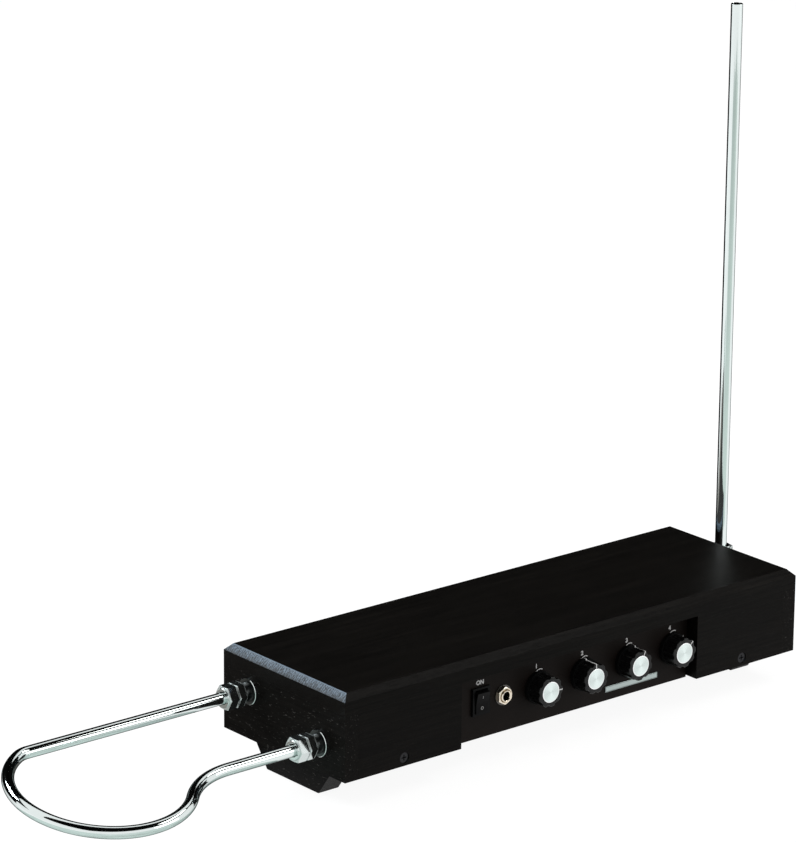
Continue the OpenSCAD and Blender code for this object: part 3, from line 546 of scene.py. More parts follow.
class Piece:
    """Common parts of the operators."""
    bl_options = {"REGISTER", "UNDO"}

    @staticmethod
    def dress(mat, *nodes, edge=0.0):
        """Gives CAD nodes a material and, with edge, softly rounded edges."""
        for node in nodes:
            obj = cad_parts[node]
            obj.data.materials.clear()
            obj.data.materials.append(mat)
            if edge:
                weld = obj.modifiers.new("Weld", "WELD")
                weld.merge_threshold = 1e-6
                bevel = obj.modifiers.new("Bevel", "BEVEL")
                bevel.affect = "EDGES"
                bevel.width = edge
                bevel.segments = 2
                bevel.profile = 0.5
                bevel.material = -1
                bevel.limit_method = "ANGLE"
                bevel.angle_limit = radians(40)


# ---------- operators ----------

class THEREMIN_OT_cabinet(Piece, bpy.types.Operator):
    """Stains the boards and cleats, and softens their edges"""
    bl_idname = "theremin.cabinet"
    bl_label = "Cabinet"

    def execute(self, context):
        size = sizes()
        edge = size.board_round
        self.dress(wood("wood_lengthwise", 0), "top_board", "back_board", "front_left_rail",
                   "front_right_rail", "base_board", edge=edge)
        self.dress(wood("wood_crosswise", 1), "left_end_board", "right_end_board", edge=edge)
        self.dress(wood("wood_cleats", 1, 0.6), "left_cleat", "right_cleat", edge=edge)
        self.dress(plated("screw_black", (0.03, 0.03, 0.032), rough=0.35), "cover_screws")
        self.dress(plated("screw_zinc", ZINC, rough=0.3), "base_screws")
        enamel = coated("stand_enamel", (0.02, 0.02, 0.022), rough=0.4, specular=0.3)
        self.dress(enamel, "stand_flange", edge=size.metal_round)
        return {"FINISHED"}


class THEREMIN_OT_panel(Piece, bpy.types.Operator):
    """Coats the panel and prints its figures and arcs"""
    bl_idname = "theremin.panel"
    bl_label = "Panel"

    def execute(self, context):
        look = looks()
        coat = coated("panel_coat", look.panel, rough=0.5, specular=0.07)
        self.dress(coat, "front_panel", edge=0.0003)
        white = printed("print_white", look.marks)
        figures = (("1", KNOB_X[0] - 0.0015), ("2", KNOB_X[1] - 0.001), ("3", KNOB_X[2] - 0.001),
                   ("4", KNOB_X[3] - 0.002), ("ON", middle("switch_body").x))
        for text, x in figures:
            self.figure(context, text, x, white)
        for number, x in enumerate(KNOB_X, 1):
            self.arc("arc_%d" % number, x + 0.0022, white)
        self.strip()
        return {"FINISHED"}

    @staticmethod
    def figure(context, text, x, mat):
        """A figure in low relief on the panel, centred on x"""
        name = "figure_" + text.lower()
        curve = bpy.data.curves.new(name, "FONT")
        curve.body = text
        curve.size = sizes().figure_height / 0.7
        curve.align_x = "CENTER"
        curve.extrude = 0.00003
        curve.offset = 0.00022
        holder = add_object("figure_source", curve)
        context.view_layer.update()
        mesh = bpy.data.meshes.new_from_object(holder.evaluated_get(context.evaluated_depsgraph_get()))
        bpy.data.objects.remove(holder)
        mesh.transform(out_of_panel(x, FIGURE_Z) @ Matrix.Translation((0, 0, 0.00004)))
        mesh.materials.clear()
        mesh.materials.append(mat)
        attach(add_object(name, mesh), "cabinet")

    @staticmethod
    def arc(name, x, mat):
        """A thin printed arc over a knob"""
        bm = bmesh.new()
        sweep(bm, [(0.0046, 0, 0), (0.0053, 0, 0)], 60, 105, 20)
        bmesh.ops.solidify(bm, geom=bm.faces[:], thickness=0.00007)
        place = out_of_panel(x, ARC_Z) @ Matrix.Translation((0, 0, 0.00008))
        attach(finish_mesh(bm, name, [mat], place), "cabinet")

    @staticmethod
    def strip():
        """A bare satin plate with a dark printed border"""
        low, high = node_box("blank_strip")
        satin = plated("strip_satin", (0.40, 0.46, 0.45), rough=0.3)
        border = coated("strip_border", (0.012, 0.014, 0.016), rough=0.5, specular=0.3)
        half = (high - low) / 2
        bm = bmesh.new()
        raise_face(bm, oblong(-half.x, -half.z, half.x, half.z), 0, 2 * half.y)
        round_edges(bm, 0.00012)
        face = max(bm.faces, key=lambda f: f.calc_center_median().z * 1000 + f.calc_area())
        bmesh.ops.inset_region(bm, faces=[face], thickness=0.0003)
        for f in bmesh.ops.inset_region(bm, faces=[face], thickness=0.00035)["faces"]:
            f.material_index = 1
        bmesh.ops.inset_region(bm, faces=[face], thickness=0.00005, depth=-0.00003)
        centre = (low + high) / 2
        place = Matrix.Translation((centre.x, high.y, centre.z)) @ rotated(90, "X")
        obj = finish_mesh(bm, "bare_strip", [satin, border], place)
        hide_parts("blank_strip")
        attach(obj, "cabinet")


class THEREMIN_OT_knobs(Piece, bpy.types.Operator):
    """Builds the fluted knobs with their discs and pointer lines"""
    bl_idname = "theremin.knobs"
    bl_label = "Knobs"

    def execute(self, context):
        look = looks()
        black = coated("knob_black", look.knob, rough=0.3, specular=0.25, grain=2.5, relief=0.000008)
        dull = coated("knob_skirt", look.knob, rough=0.55, specular=0.04, grain=2.5, relief=0.000008)
        white = printed("pointer_white", look.marks, rough=0.5)
        spun = turned("disc_spun", look.disc)
        steel = plated("shaft_nickel", ZINC, rough=0.25, axis=1)
        lift = Matrix.Translation((0, 0, PANEL_Y - KNOB_HIGH.y))
        for name, x, turn in zip(KNOBS, KNOB_X, TURNS):
            place = out_of_panel(x, KNOB_Z) @ rotated(-turn, "Z") @ lift
            obj = self.knob(name, [black, dull], place)
            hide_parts(name + "_knob")
            self.disc(name, spun, place)
            self.pointer(name, white, place)
            self.dress(steel, name + "_shaft")
        return {"FINISHED"}

    @staticmethod
    def knob(name, mats, place):
        """A skirt and a body with flutes, hollow at the back, with a shallow seat for its disc"""
        size = sizes()
        step = 2 * pi / size.flutes
        flute_centre = KNOB_R - size.flute_depth + size.flute_radius
        body_start = SKIRT_H + 0.0005
        hollow_r = 0.0078

        def fluted(a, z, r):
            if z < body_start - 1e-7 or r < DISC_R + 0.0007:
                return r
            off = (a - pi / 2) % step - step / 2
            inside = size.flute_radius ** 2 - (flute_centre * sin(off)) ** 2
            if inside <= 0:
                return r
            return min(KNOB_R, flute_centre * cos(off) - sqrt(inside)) - (KNOB_R - r)

        steps = size.flutes * 36
        rows = [(0, hollow_r), (0, SKIRT_R - 0.0003), (0.0003, SKIRT_R), (SKIRT_H - 0.00012, SKIRT_R)]
        rows += [(SKIRT_H - 0.00004, SKIRT_R - 0.00003), (SKIRT_H, SKIRT_R - 0.00012)]
        rows += [(SKIRT_H, KNOB_R + 0.0001), (SKIRT_H + 0.0001, KNOB_R), (body_start - 0.00001, KNOB_R)]
        rows += [(body_start, KNOB_R), (DEPTH - 0.0008, KNOB_R), (DEPTH - 0.0004, KNOB_R - 0.00006)]
        rows += [(DEPTH - 0.00015, KNOB_R - 0.00022), (DEPTH - 0.00003, KNOB_R - 0.00045)]
        rows += [(DEPTH, KNOB_R - 0.0007), (DEPTH, DISC_R + 0.0007), (DEPTH, DISC_R + 0.0002)]
        rows += [(DEPTH - 0.0001, DISC_R + 0.00005), (DEPTH - 0.0008, DISC_R + 0.00005), (DEPTH - 0.0008, 0)]
        bm = bmesh.new()
        lathe(bm, rows, steps, fluted)
        for face in bm.faces:
            if max(v.co.z for v in face.verts) < body_start - 0.00002:
                face.material_index = 1
        lathe(bm, [(0, hollow_r), (0.0042, hollow_r), (0.0042, 0.00305)], steps)
        obj = finish_mesh(bm, name + "_fluted_knob", mats, place)
        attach(obj, name + "_control")
        return obj

    @staticmethod
    def disc(name, mat, place):
        """The spun disc, a little proud of the knob's face"""
        face = DEPTH + 0.00018
        rows = [(DEPTH - 0.0007, DISC_R), (DEPTH + 0.00006, DISC_R), (DEPTH + 0.00014, DISC_R - 0.00008)]
        rows += [(face, r) for r in (DISC_R - 0.0002, 0.006, 0.003, 0)]
        obj = lathed(name + "_spun_disc", rows, 96, [mat], place, closed=False)
        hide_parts(name + "_disc")
        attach(obj, name + "_control")

    @staticmethod
    def pointer(name, mat, place):
        """A painted line that runs over the face, the side and the skirt"""
        lift = 0.00005
        half = sizes().pointer_width / 2
        path = [(DISC_R + 0.0002, DEPTH), (KNOB_R - 0.0007, DEPTH), (KNOB_R - 0.00022, DEPTH - 0.00015),
                (KNOB_R - 0.00006, DEPTH - 0.0004), (KNOB_R, DEPTH - 0.0008), (KNOB_R, SKIRT_H + 0.0002),
                (SKIRT_R - 0.00012, SKIRT_H), (SKIRT_R, SKIRT_H - 0.00012), (SKIRT_R, 0.0003)]
        bm = bmesh.new()
        line = [bm.verts.new((-half, r + lift, z + lift)) for r, z in path]
        edges = [bm.edges.new(pair) for pair in zip(line, line[1:])]
        made = bmesh.ops.extrude_edge_only(bm, edges=edges)
        bmesh.ops.translate(bm, vec=(2 * half, 0, 0), verts=verts_of(made))
        bmesh.ops.recalc_face_normals(bm, faces=bm.faces)
        if sum(f.normal.z for f in bm.faces) < 0:
            bmesh.ops.reverse_faces(bm, faces=bm.faces)
        bmesh.ops.solidify(bm, geom=bm.faces[:], thickness=0.0001)
        obj = finish_mesh(bm, name + "_pointer", [mat], place)
        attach(obj, name + "_control")


class THEREMIN_OT_switch(Piece, bpy.types.Operator):
    """Builds the power rocker with its marks and softens its bezel"""
    bl_idname = "theremin.switch"
    bl_label = "Power switch"

    def execute(self, context):
        look = looks()
        body = coated("switch_frame", toned(look.knob, 1.1), rough=0.42, specular=0.07, relief=0.00002)
        self.dress(body, "switch_body", edge=0.0003)
        rocker = coated("rocker_black", look.knob, rough=0.34, specular=0.06, relief=0.00001)
        white = printed("rocker_print", toned(look.marks, 0.55))
        centre = middle("switch_body")
        pivot = Matrix.Translation((centre.x, PANEL_Y + 0.0026, centre.z))
        tilt = pivot @ rotated(7, "X")
        self.key(rocker, tilt)
        bm = bmesh.new()
        raise_face(bm, oblong(-0.00022, -0.0011, 0.00022, 0.0011), -0.00003, 0.00004)
        bar = finish_mesh(bm, "mark_on", [white], tilt @ self.on_face(0.0044))
        rows = [(-0.00003, 0.0013), (0.00004, 0.0013), (0.00004, 0.0009), (-0.00003, 0.0009)]
        ring = lathed("mark_off", rows, 40, [white], tilt @ self.on_face(-0.0044))
        for mark in (bar, ring):
            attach(mark, "rocker")
        return {"FINISHED"}

    @staticmethod
    def face_y(t):
        """Where the key's hollow face lies, t running from -1 to 1 up the key"""
        return KEY_FACE - KEY_HOLLOW * abs(t) ** KEY_CURVE

    def key(self, mat, tilt):
        """The rocking key, drawn from the side and raised across the switch"""
        half_width = 0.006
        steps = [k / 10 for k in range(-10, 11)]
        outline = [(self.face_y(t), KEY_REACH * t) for t in steps]
        outline += [(-0.0012, KEY_REACH), (0.0025, 0.003), (0.0025, -0.003), (-0.0012, -KEY_REACH)]
        bm = bmesh.new()
        raise_face(bm, outline, -half_width, half_width)
        sides = [e for e in bm.edges if len(e.link_faces) == 2 and e.calc_face_angle(0) > radians(50)]
        round_edges(bm, 0.0003, sides)
        across = Matrix(((0, 0, 1, 0), (1, 0, 0, 0), (0, 1, 0, 0), (0, 0, 0, 1)))
        obj = finish_mesh(bm, "rocker_key", [mat], tilt @ across)
        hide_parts("switch_rocker")
        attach(obj, "rocker")

    def on_face(self, height):
        """The place of a mark at a height on the key's face, leaning with it"""
        t = height / KEY_REACH
        side = 1 if t > 0 else -1
        slope = -KEY_HOLLOW * KEY_CURVE * abs(t) ** (KEY_CURVE - 1) / KEY_REACH * side
        lean = Matrix.Rotation(pi / 2 - atan(slope), 4, "X")
        return Matrix.Translation((0, self.face_y(t), height)) @ lean


class THEREMIN_OT_socket(Piece, bpy.types.Operator):
    """Builds the output socket's threaded sleeve, nut, washer and case"""
    bl_idname = "theremin.socket"
    bl_label = "Output socket"

    def execute(self, context):
        gold = plated("socket_plate", looks().gold, rough=0.12, axis=1, edge=0.4)
        low, high = node_box("jack_body")
        centre = middle("jack_nut")
        place = out_of_panel(centre.x, centre.z)
        back = PANEL_Y - high.y
        sleeve = self.sleeve(gold, place, PANEL_Y - low.y)
        throat = self.throat(place, back)
        case = self.case(place, back)
        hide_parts("jack_body")
        nut = self.nut(gold, place)
        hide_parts("jack_nut")
        for obj in (sleeve, throat, case, nut):
            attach(obj, "cabinet")
        nickel = plated("washer_nickel", (0.09, 0.085, 0.08), rough=0.25, axis=2, edge=0.5)
        self.dress(nickel, "panel_washers", edge=0.0001)
        self.dress(nickel, "pot_nuts", edge=0.0002)
        return {"FINISHED"}

    @staticmethod
    def sleeve(mat, place, tip):
        """The threaded sleeve with its rounded lip, up to the height tip over the panel"""
        steps = 30
        start = SLEEVE_BACK + 0.0002
        rows = [(SLEEVE_BACK, SLEEVE_R - 0.0001), (start, SLEEVE_R)]
        rows += [(start + (tip - 0.0002 - start) * k / steps, SLEEVE_R) for k in range(1, steps)]
        rows += [(tip - 0.0002, 0.00455), (tip, 0.0044), (tip, 0.0038), (tip - 0.0004, 0.0034)]
        rows += [(tip - 0.0007, PLUG_R), (SLEEVE_BACK, PLUG_R)]
        return lathed("socket_sleeve", rows, 64, [mat], place, threaded(SLEEVE_R, 0.00022, 0.0010))

    @staticmethod
    def throat(place, back):
        """The dark bore behind the sleeve"""
        dark = coated("socket_throat", (0.003, 0.003, 0.003), rough=0.7, specular=0.05)
        end = back + 0.006
        outer = PLUG_R + 0.00015
        rows = [(SLEEVE_BACK, outer), (SLEEVE_BACK, PLUG_R), (end, PLUG_R), (end, outer)]
        return lathed("socket_throat", rows, 48, [dark], place)

    @staticmethod
    def case(place, back):
        """The square case behind the panel, round the sleeve"""
        black = coated("socket_case", (0.01, 0.01, 0.01), rough=0.5, specular=0.2)
        half, front, end = 0.00725, -0.0016, back + 0.0045
        rows = [(end, 0.0094), (front, 0.0094), (front, 0.0048), (end, 0.0048)]

        def squared(a, z, r):
            return r if r < 0.006 else half / max(abs(cos(a)), abs(sin(a)))

        return lathed("socket_case", rows, 64, [black], place, squared)

    @staticmethod
    def nut(mat, place):
        """The thin hexagon on the sleeve, with its outer corners turned off"""
        low, high = node_box("jack_nut")
        af = high.z - low.z
        start, end = PANEL_Y - high.y, PANEL_Y - low.y
        hole_r = SLEEVE_R + 0.0001
        corner = af / 2 / cos(pi / 6)
        rows = [(start, hole_r), (start, corner * 0.97), (start + 0.0002, corner)]
        eased = [k / 4 for k in range(5)]
        rows += [(end - 0.0005 + 0.0005 * t, corner - 0.0011 * t ** 1.5) for t in eased]
        rows += [(end, 0.00545), (end - 0.001, hole_r)]
        return lathed("socket_nut", rows, 96, [mat], place, hexed(af), sharp=radians(20))


class THEREMIN_OT_fittings(Piece, bpy.types.Operator):
    """Builds the antenna fittings: washers, threaded necks, hexagons, squeeze nuts and the elbow"""
    bl_idname = "theremin.fittings"
    bl_label = "Antenna fittings"

    def execute(self, context):
        chrome = looks().chrome
        bright = plated("fitting_plate", chrome, rough=0.08, axis=2, edge=0.3)
        # A darkened copy of the chrome: painted shade in the stems' threads and a painted dark reflection on
        # the washers' faces
        neck = plated("painted_shade_plate", toned(chrome, 0.14), rough=0.3, axis=1, edge=0.3)
        mats = [bright, neck, plated("fitting_edge", chrome, rough=0.42, axis=2)]
        for number, place in enumerate(FITTINGS):
            obj = self.body(number, mats, place)
            if number == 0:
                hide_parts("volume_fittings")
            nut = self.nut("volume_nut_%d" % number, mats, place, 0.0154, 0.025)
            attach(nut, "loop")
            if number == 0:
                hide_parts("volume_nuts")
            self.washer("fitting_washer_%d" % number, [bright, neck], place)
        rod_hole = Matrix.Translation((END_X, ROD_Y, ELBOW_Z)) @ rotated(90, "Y")
        washer = self.washer("fitting_washer_2", [bright, neck], rod_hole)
        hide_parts("antenna_washers")
        upright = Matrix.Translation((ROD_X, ROD_Y, ELBOW_Z))
        self.elbow(mats, rod_hole, upright)
        nut = self.nut("rod_nut", mats, upright, 0.0204, 0.030)
        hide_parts("pitch_nut")
        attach(nut, "rod")
        self.dress(plated("locknut_nickel", ZINC, rough=0.25), "antenna_locknuts", edge=0.0002)
        self.dress(plated("ferrule_brass", BRASS, rough=0.25), "volume_ferrules", "pitch_ferrule")
        return {"FINISHED"}

    @staticmethod
    def hex_rows(start, end, inner_start, inner_end):
        """Rows of a hexagon with both its ends' corners turned off."""
        corner = HEX_AF / 2 / cos(pi / 6)
        ease = [(0.0, 0.88), (0.25, 0.93), (0.6, 0.975), (1.0, 1.0)]
        rows = [(start, inner_start)]
        rows += [(start + CHAMFER * t, corner * f) for t, f in ease]
        rows += [(end - CHAMFER * t, corner * f) for t, f in reversed(ease)]
        rows += [(end, inner_end)]
        return rows

    @staticmethod
    def satin_ends(start, end):
        """A slot for lathe: the turned corners of a hexagon from start to end are satin."""
        outside = 0.0079

        def slot(centre):
            at_end = min(centre.z - start, end - centre.z) < CHAMFER
            return 2 if at_end and hypot(centre.x, centre.y) > outside else 0

        return slot

    @staticmethod
    def stem(bm, end, turn=None):
        """The threaded stem that passes through the wood"""
        pieces = 40
        start = STEM_BACK + 0.0004
        rows = [(STEM_BACK, 0), (STEM_BACK, STEM_R - 0.0004), (start, STEM_R)]
        rows += [(start + (end - start) * k / pieces, STEM_R) for k in range(1, pieces + 1)]
        # Slot 1 is the darkened chrome: painted shade in the threads
        lathe(bm, rows, 72, threaded(STEM_R, 0.00045, sizes().thread_pitch), turn=turn, slot=1)

    def hexagon(self, bm, start, end, turn):
        """A hexagon fixed to the stem"""
        rows = self.hex_rows(start, end, 0.0068, 0.0068)
        lathe(bm, rows, HEX_STEPS, hexed(HEX_AF), turn=turn, slot=self.satin_ends(start, end))

    def collar(self, bm, start, end, turn=None):
        """A fixed hexagon with the nose that the squeeze nut screws on to"""
        self.hexagon(bm, start, end, turn)
        tip, inside = end + 0.006, start - 0.004
        rows = [(end, NOSE_R), (tip - 0.0005, NOSE_R), (tip, NOSE_R - 0.0004)]
        rows += [(tip, BORE_R), (inside, BORE_R), (inside, 0)]
        lathe(bm, rows, 72, turn=turn)

    def body(self, number, mats, place):
        """One of the loop's two fittings, without its nut"""
        bm = bmesh.new()
        self.stem(bm, 0.008)
        self.collar(bm, 0.008, 0.015)
        obj = finish_mesh(bm, "fitting_body_%d" % number, mats, place, FACET)
        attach(obj, "cabinet")
        return obj

    def nut(self, name, mats, place, start, end):
        """A squeeze nut with a rounded mouth round the tube"""
        flats, lip = end - 0.001, end - 0.0018
        hollow_r = NOSE_R + 0.00005
        rows = self.hex_rows(start, flats, hollow_r, 0.0077)
        rows += [(end - 0.0004, 0.0076), (end - 0.0001, 0.0074), (end, 0.0071), (end, 0.0052)]
        rows += [(end - 0.0003, 0.0049), (lip, BORE_R), (lip, hollow_r)]
        slot = self.satin_ends(start, flats)
        obj = lathed(name, rows, HEX_STEPS, mats, place, hexed(HEX_AF), slot=slot, sharp=FACET)
        return obj

    @staticmethod
    def washer(name, mats, place):
        """A bright rim round a face darkened with a painted dark reflection"""
        rows = [(0, 0.00755), (0, 0.0103), (0.0002, 0.0105), (0.0013, 0.0105), (0.0016, 0.0101)]
        rows += [(0.0016, 0.0078), (0.0014, 0.00755)]
        bm = bmesh.new()
        lathe(bm, rows, 96, closed=True)
        bm.normal_update()
        # The flat faces take the darkened chrome: a painted dark reflection
        for face in bm.faces:
            if abs(face.normal.z) > 0.99:
                face.material_index = 1
        obj = finish_mesh(bm, name, mats, place)
        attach(obj, "cabinet")
        return obj

    def elbow(self, mats, rod_hole, upright):
        """The rod's fitting, which comes out of the wood and bends upright"""
        bend, start = 0.009, END_X + 0.0105
        bm = bmesh.new()
        self.stem(bm, 0.005, rod_hole)
        self.hexagon(bm, 0.005, 0.011, rod_hole)
        bar = Bar(bm, (start, ROD_Y, ELBOW_Z), (1, 0, 0), 0.0078, 72)
        bar.run((ROD_X - bend - start, 0, 0))
        bar.bend((ROD_X - bend, ROD_Y, ELBOW_Z + bend), (0, -1, 0), pi / 2, 12)
        bar.run((0, 0, 0.0045))
        bar.close()
        self.collar(bm, 0.013, 0.020, upright)
        obj = finish_mesh(bm, "rod_elbow", mats, sharp=FACET)
        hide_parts("pitch_elbow")
        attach(obj, "cabinet")


class THEREMIN_OT_antennas(Piece, bpy.types.Operator):
    """Builds the bent loop and the straight rod of polished tube"""
    bl_idname = "theremin.antennas"
    bl_label = "Antennas"

    def execute(self, context):
        shine = {"rough": 0.06, "cloud": 0.01, "scratch": 0.000001, "edge": 0.1}
        chrome = plated("antenna_chrome", looks().chrome, axis=0, **shine)
        upright = plated("antenna_chrome_upright", looks().chrome, axis=2, **shine)
        bm = bmesh.new()
        self.loop(bm)
        tilt = Matrix.Translation((0, 0, LOOP_Z)) @ Matrix.Rotation(LOOP_TILT, 4, "X")
        loop = finish_mesh(bm, "loop_antenna", [chrome], tilt)
        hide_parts("loop_tube")
        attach(loop, "loop")
        low, high = node_box("pitch_rod")
        foot, top, inner = low.z, high.z, TUBE_R - 0.0009
        rows = [(foot, inner), (foot, TUBE_R - 0.0002), (foot + 0.0002, TUBE_R)]
        rows += [(foot + (top - foot) * k / 12, TUBE_R) for k in range(1, 12)]
        rows += [(top - 0.0003, TUBE_R), (top - 0.0001, TUBE_R - 0.0001), (top, TUBE_R - 0.0003)]
        rows += [(top, inner + 0.0002), (top - 0.0002, inner)]
        place = Matrix.Translation((ROD_X, ROD_Y, 0))
        rod = lathed("rod_antenna", rows, sizes().tube_sides, [upright], place)
        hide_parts("pitch_rod")
        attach(rod, "rod")
        return {"FINISHED"}

    @staticmethod
    def loop(bm):
        """The loop in its own plane, with its legs along X"""
        big, drop, small, turn = 0.0665, 0.018, 0.020, radians(47)
        centre = Vector((-END_X - 0.246 + big, -drop, 0))
        corner = pi / 2 - asin((LEG_Y - small + drop) / (big - small))
        corner_x = centre.x - (big - small) * sin(corner)
        neck = (big * cos(turn) + drop - LEG_Y) / (1 - cos(turn))
        neck_x = centre.x + (big + neck) * sin(turn)
        start = -END_X - 0.002
        up = (0, 0, 1)
        bar = Bar(bm, (start, LEG_Y, 0), (-1, 0, 0), TUBE_R, sizes().tube_sides)
        bar.run((corner_x - start, 0, 0), 8)
        bar.bend((corner_x, LEG_Y - small, 0), up, corner, 12)
        bar.bend(centre, up, pi - corner + turn, 84)
        bar.bend((neck_x, -LEG_Y - neck, 0), up, -turn, 24)
        bar.run((start - neck_x, 0, 0), 6)
        bar.close()


class THEREMIN_OT_inside(Piece, bpy.types.Operator):
    """Finishes the parts inside the cabinet and on its back"""
    bl_idname = "theremin.inside"
    bl_label = "Inside"

    def execute(self, context):
        self.dress(coated("board_green", (0.01, 0.09, 0.035), rough=0.35, specular=0.4), "circuit_board")
        self.dress(plated("standoff_brass", BRASS, rough=0.25, axis=2), "board_standoffs")
        self.dress(plated("board_screw_zinc", ZINC, rough=0.3), "board_screws")
        self.dress(coated("chip_black", (0.012, 0.012, 0.013), rough=0.55), "chips")
        self.dress(coated("sleeve_blue", (0.015, 0.03, 0.12), rough=0.3, specular=0.4), "capacitors")
        self.dress(plated("can_tin", (0.6, 0.6, 0.62), rough=0.3, axis=2), "tuning_coils")
        self.dress(plated("sink_aluminium", (0.5, 0.5, 0.52), rough=0.35, axis=2), "regulator")
        copper = coated("winding_copper", (0.28, 0.11, 0.04), 0.35, specular=0.5, grain=4.0, relief=0.00005)
        self.dress(copper, "pitch_chokes", "volume_chokes")
        for node, colour in (("pitch_leads", (0.35, 0.02, 0.015)), ("volume_leads", (0.02, 0.06, 0.3)),
                             ("panel_leads", (0.5, 0.42, 0.04))):
            self.dress(coated(node + "_sleeve", colour, rough=0.35, specular=0.4), node)
        self.dress(plated("pot_steel", (0.5, 0.51, 0.53), rough=0.3, axis=1), *[k + "_pot" for k in KNOBS])
        inlet = coated("inlet_black", looks().knob, rough=0.45, specular=0.25)
        self.dress(inlet, "power_inlet", edge=0.0002)
        return {"FINISHED"}


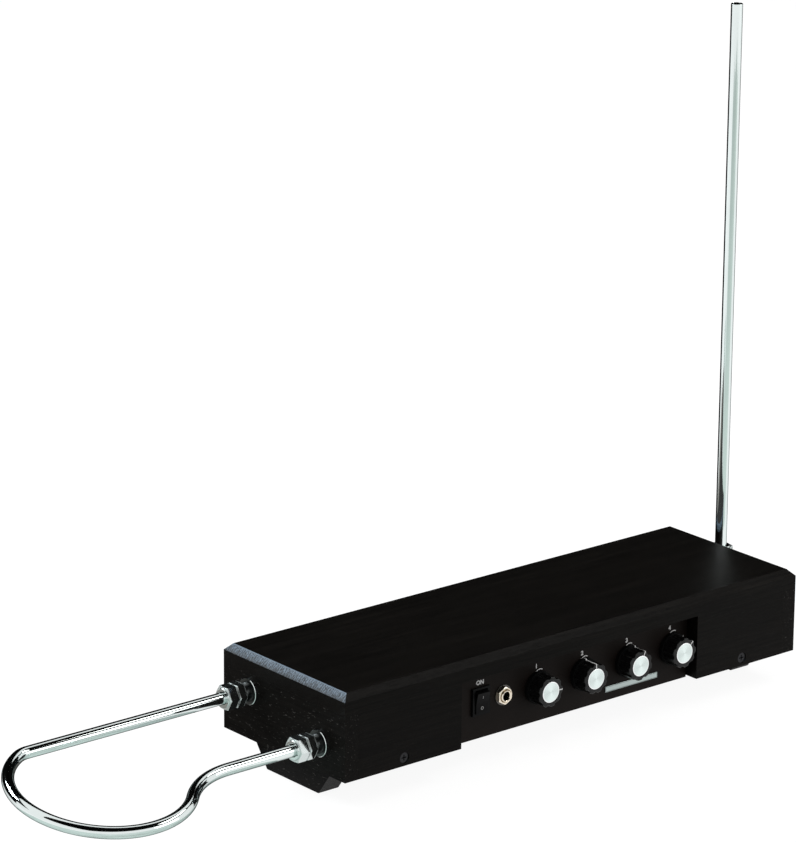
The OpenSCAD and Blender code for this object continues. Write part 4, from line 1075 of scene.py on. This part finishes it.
class THEREMIN_OT_studio(Piece, bpy.types.Operator):
    """Sets the floor, the soft lights, the white background and the camera"""
    bl_idname = "theremin.studio"
    bl_label = "Studio"

    def execute(self, context):
        scene = context.scene
        self.floor()
        self.cloth()
        self.world(scene)
        for lamp in LAMPS:
            self.softbox(*lamp)
        self.camera(scene)
        scene.view_settings.view_transform = "Standard"
        return {"FINISHED"}

    @staticmethod
    def floor():
        """Pale paper that keeps a soft shadow and shows white to the camera and to shiny metal"""
        floor_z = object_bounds()[0][2]
        bm = bmesh.new()
        bmesh.ops.create_grid(bm, x_segments=2, y_segments=2, size=4.0,
                              matrix=Matrix.Translation((0, 0, floor_z - 0.0002)))
        paper = Tree("studio_floor")
        tone = paper.noise(paper.stretched([0.004] * 3))
        paper.set("Base Color", paper.mix(tone, (0.13, 0.13, 0.13), (0.15, 0.15, 0.15)))
        paper.set("Roughness", 0.9)
        paper.set("Specular IOR Level", 0.1)
        paper.set("Emission Color", (1, 1, 1))
        paper.set("Emission Strength", paper.times(shown_to(paper.nt), PAPER_GLOW))
        finish_mesh(bm, "floor", [paper.mat])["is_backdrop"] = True

    def cloth(self):
        """Black cloth and pale sheets round the object, which only shiny surfaces see"""
        black = coated("black_cloth", (0.006, 0.006, 0.006), specular=0.0)
        bm = bmesh.new()
        sweep(bm, [(CLOTH_R, 0, 0), (CLOTH_R, 0, CLOTH_TOP)], 2, 138, 36)
        self.seen_in_shine("cloth_wall", bm, black)
        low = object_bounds()[0][2] + 0.0001
        pale = coated("pale_sheet", (0.66, 0.74, 0.70), rough=0.9, specular=0.0)
        grey = coated("grey_sheet", (0.28, 0.26, 0.24), rough=0.9, specular=0.0)
        grey_outline = [(-0.45, 0.06), (-0.20, 0.06), (0.20, 0.11), (0.03, 0.33), (-0.45, 0.33)]
        pale_outline = [(-0.31, -0.25), (0.39, -0.25), (1.25, -1.93), (-0.5, -2.2), (-1.71, -0.97)]
        sheets = {
            "cloth_ceiling": (black, CLOTH_TOP, oblong(-CEILING, -CEILING, CEILING, 0.35)),
            "cloth_ceiling_back": (black, CLOTH_TOP, oblong(-CEILING, 1.5, CEILING, CEILING)),
            "cloth_floor": (black, low, [(0.20, 0.11), (3.0, 0.11), (3.0, 2.6), (-1.65, 2.6), (0.03, 0.33)]),
            "pale_front": (pale, low, pale_outline),
            "grey_left": (grey, low, grey_outline),
            "pale_left": (pale, low, oblong(-0.70, -0.25, -0.24, 0.06)),
        }
        for name, (mat, height, outline) in sheets.items():
            bm = bmesh.new()
            bm.faces.new([bm.verts.new((x, y, height)) for x, y in outline])
            self.seen_in_shine(name, bm, mat)

    @staticmethod
    def seen_in_shine(name, bm, mat):
        sheet = finish_mesh(bm, name, [mat])
        for kind in ("camera", "diffuse", "transmission", "volume_scatter", "shadow"):
            setattr(sheet, "visible_" + kind, False)
        sheet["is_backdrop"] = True

    @staticmethod
    def world(scene):
        """White to the camera and to shiny surfaces, and a plain level of light on everything"""
        world = bpy.data.worlds.new("studio")
        scene.world = world
        world.use_nodes = True
        tree = world.node_tree
        background = tree.nodes["Background"].inputs
        extra = add_math(tree, "MULTIPLY", shown_to(tree), 1 - LIGHT_LEVEL)
        feed(tree, background["Color"], (1, 1, 1))
        feed(tree, background["Strength"], add_math(tree, "ADD", extra, LIGHT_LEVEL))

    @staticmethod
    def softbox(name, place, target, width, height, power, colour):
        light = bpy.data.lights.new(name, "AREA")
        light.shape = "RECTANGLE"
        light.size = width
        light.size_y = height
        light.energy = power
        light.color = colour
        obj = add_object(name, light)
        obj.location = place
        obj.rotation_euler = (Vector(place) - Vector(target)).to_track_quat("Z", "Y").to_euler()

    @staticmethod
    def camera(scene):
        data = bpy.data.cameras.new("camera")
        data.sensor_width = FILM
        data.lens = FOCAL_PX * FILM / PICTURE_PX
        data.clip_end = 50
        obj = add_object("camera", data)
        obj.matrix_world = Matrix((
            (0.77214691, 0.18216316, -0.60877396, -2.11354527),
            (-0.6354052, 0.23193222, -0.73652405, -2.41142481),
            (0.00702675, 0.95552291, 0.29483316, 1.20469009),
            (0, 0, 0, 1),
        ))
        scene.camera = obj


OPERATORS = (
    THEREMIN_OT_cabinet, THEREMIN_OT_panel, THEREMIN_OT_knobs, THEREMIN_OT_switch, THEREMIN_OT_socket,
    THEREMIN_OT_fittings, THEREMIN_OT_antennas, THEREMIN_OT_inside, THEREMIN_OT_studio,
)


class THEREMIN_PT_panel(bpy.types.Panel):
    """Buttons for the pieces and their settings"""
    bl_label = "Theremin"
    bl_idname = "THEREMIN_PT_panel"
    bl_space_type = "VIEW_3D"
    bl_region_type = "UI"
    bl_category = "Theremin"

    def draw(self, context):
        for operator in OPERATORS:
            self.layout.operator(operator.bl_idname)
        for group in (context.scene.theremin_sizes, context.scene.theremin_looks):
            for name in group.__annotations__:
                self.layout.prop(group, name)


CLASSES = (ThereminSizes, ThereminLooks) + OPERATORS + (THEREMIN_PT_panel,)


def register():
    for cls in CLASSES:
        bpy.utils.register_class(cls)
    bpy.types.Scene.theremin_sizes = PointerProperty(type=ThereminSizes)
    bpy.types.Scene.theremin_looks = PointerProperty(type=ThereminLooks)


def unregister():
    del bpy.types.Scene.theremin_looks
    del bpy.types.Scene.theremin_sizes
    for cls in reversed(CLASSES):
        bpy.utils.unregister_class(cls)


def main():
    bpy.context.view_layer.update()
    register()
    for operator in OPERATORS:
        group, name = operator.bl_idname.split(".")
        getattr(getattr(bpy.ops, group), name)()


if __name__ == "__main__":
    main()
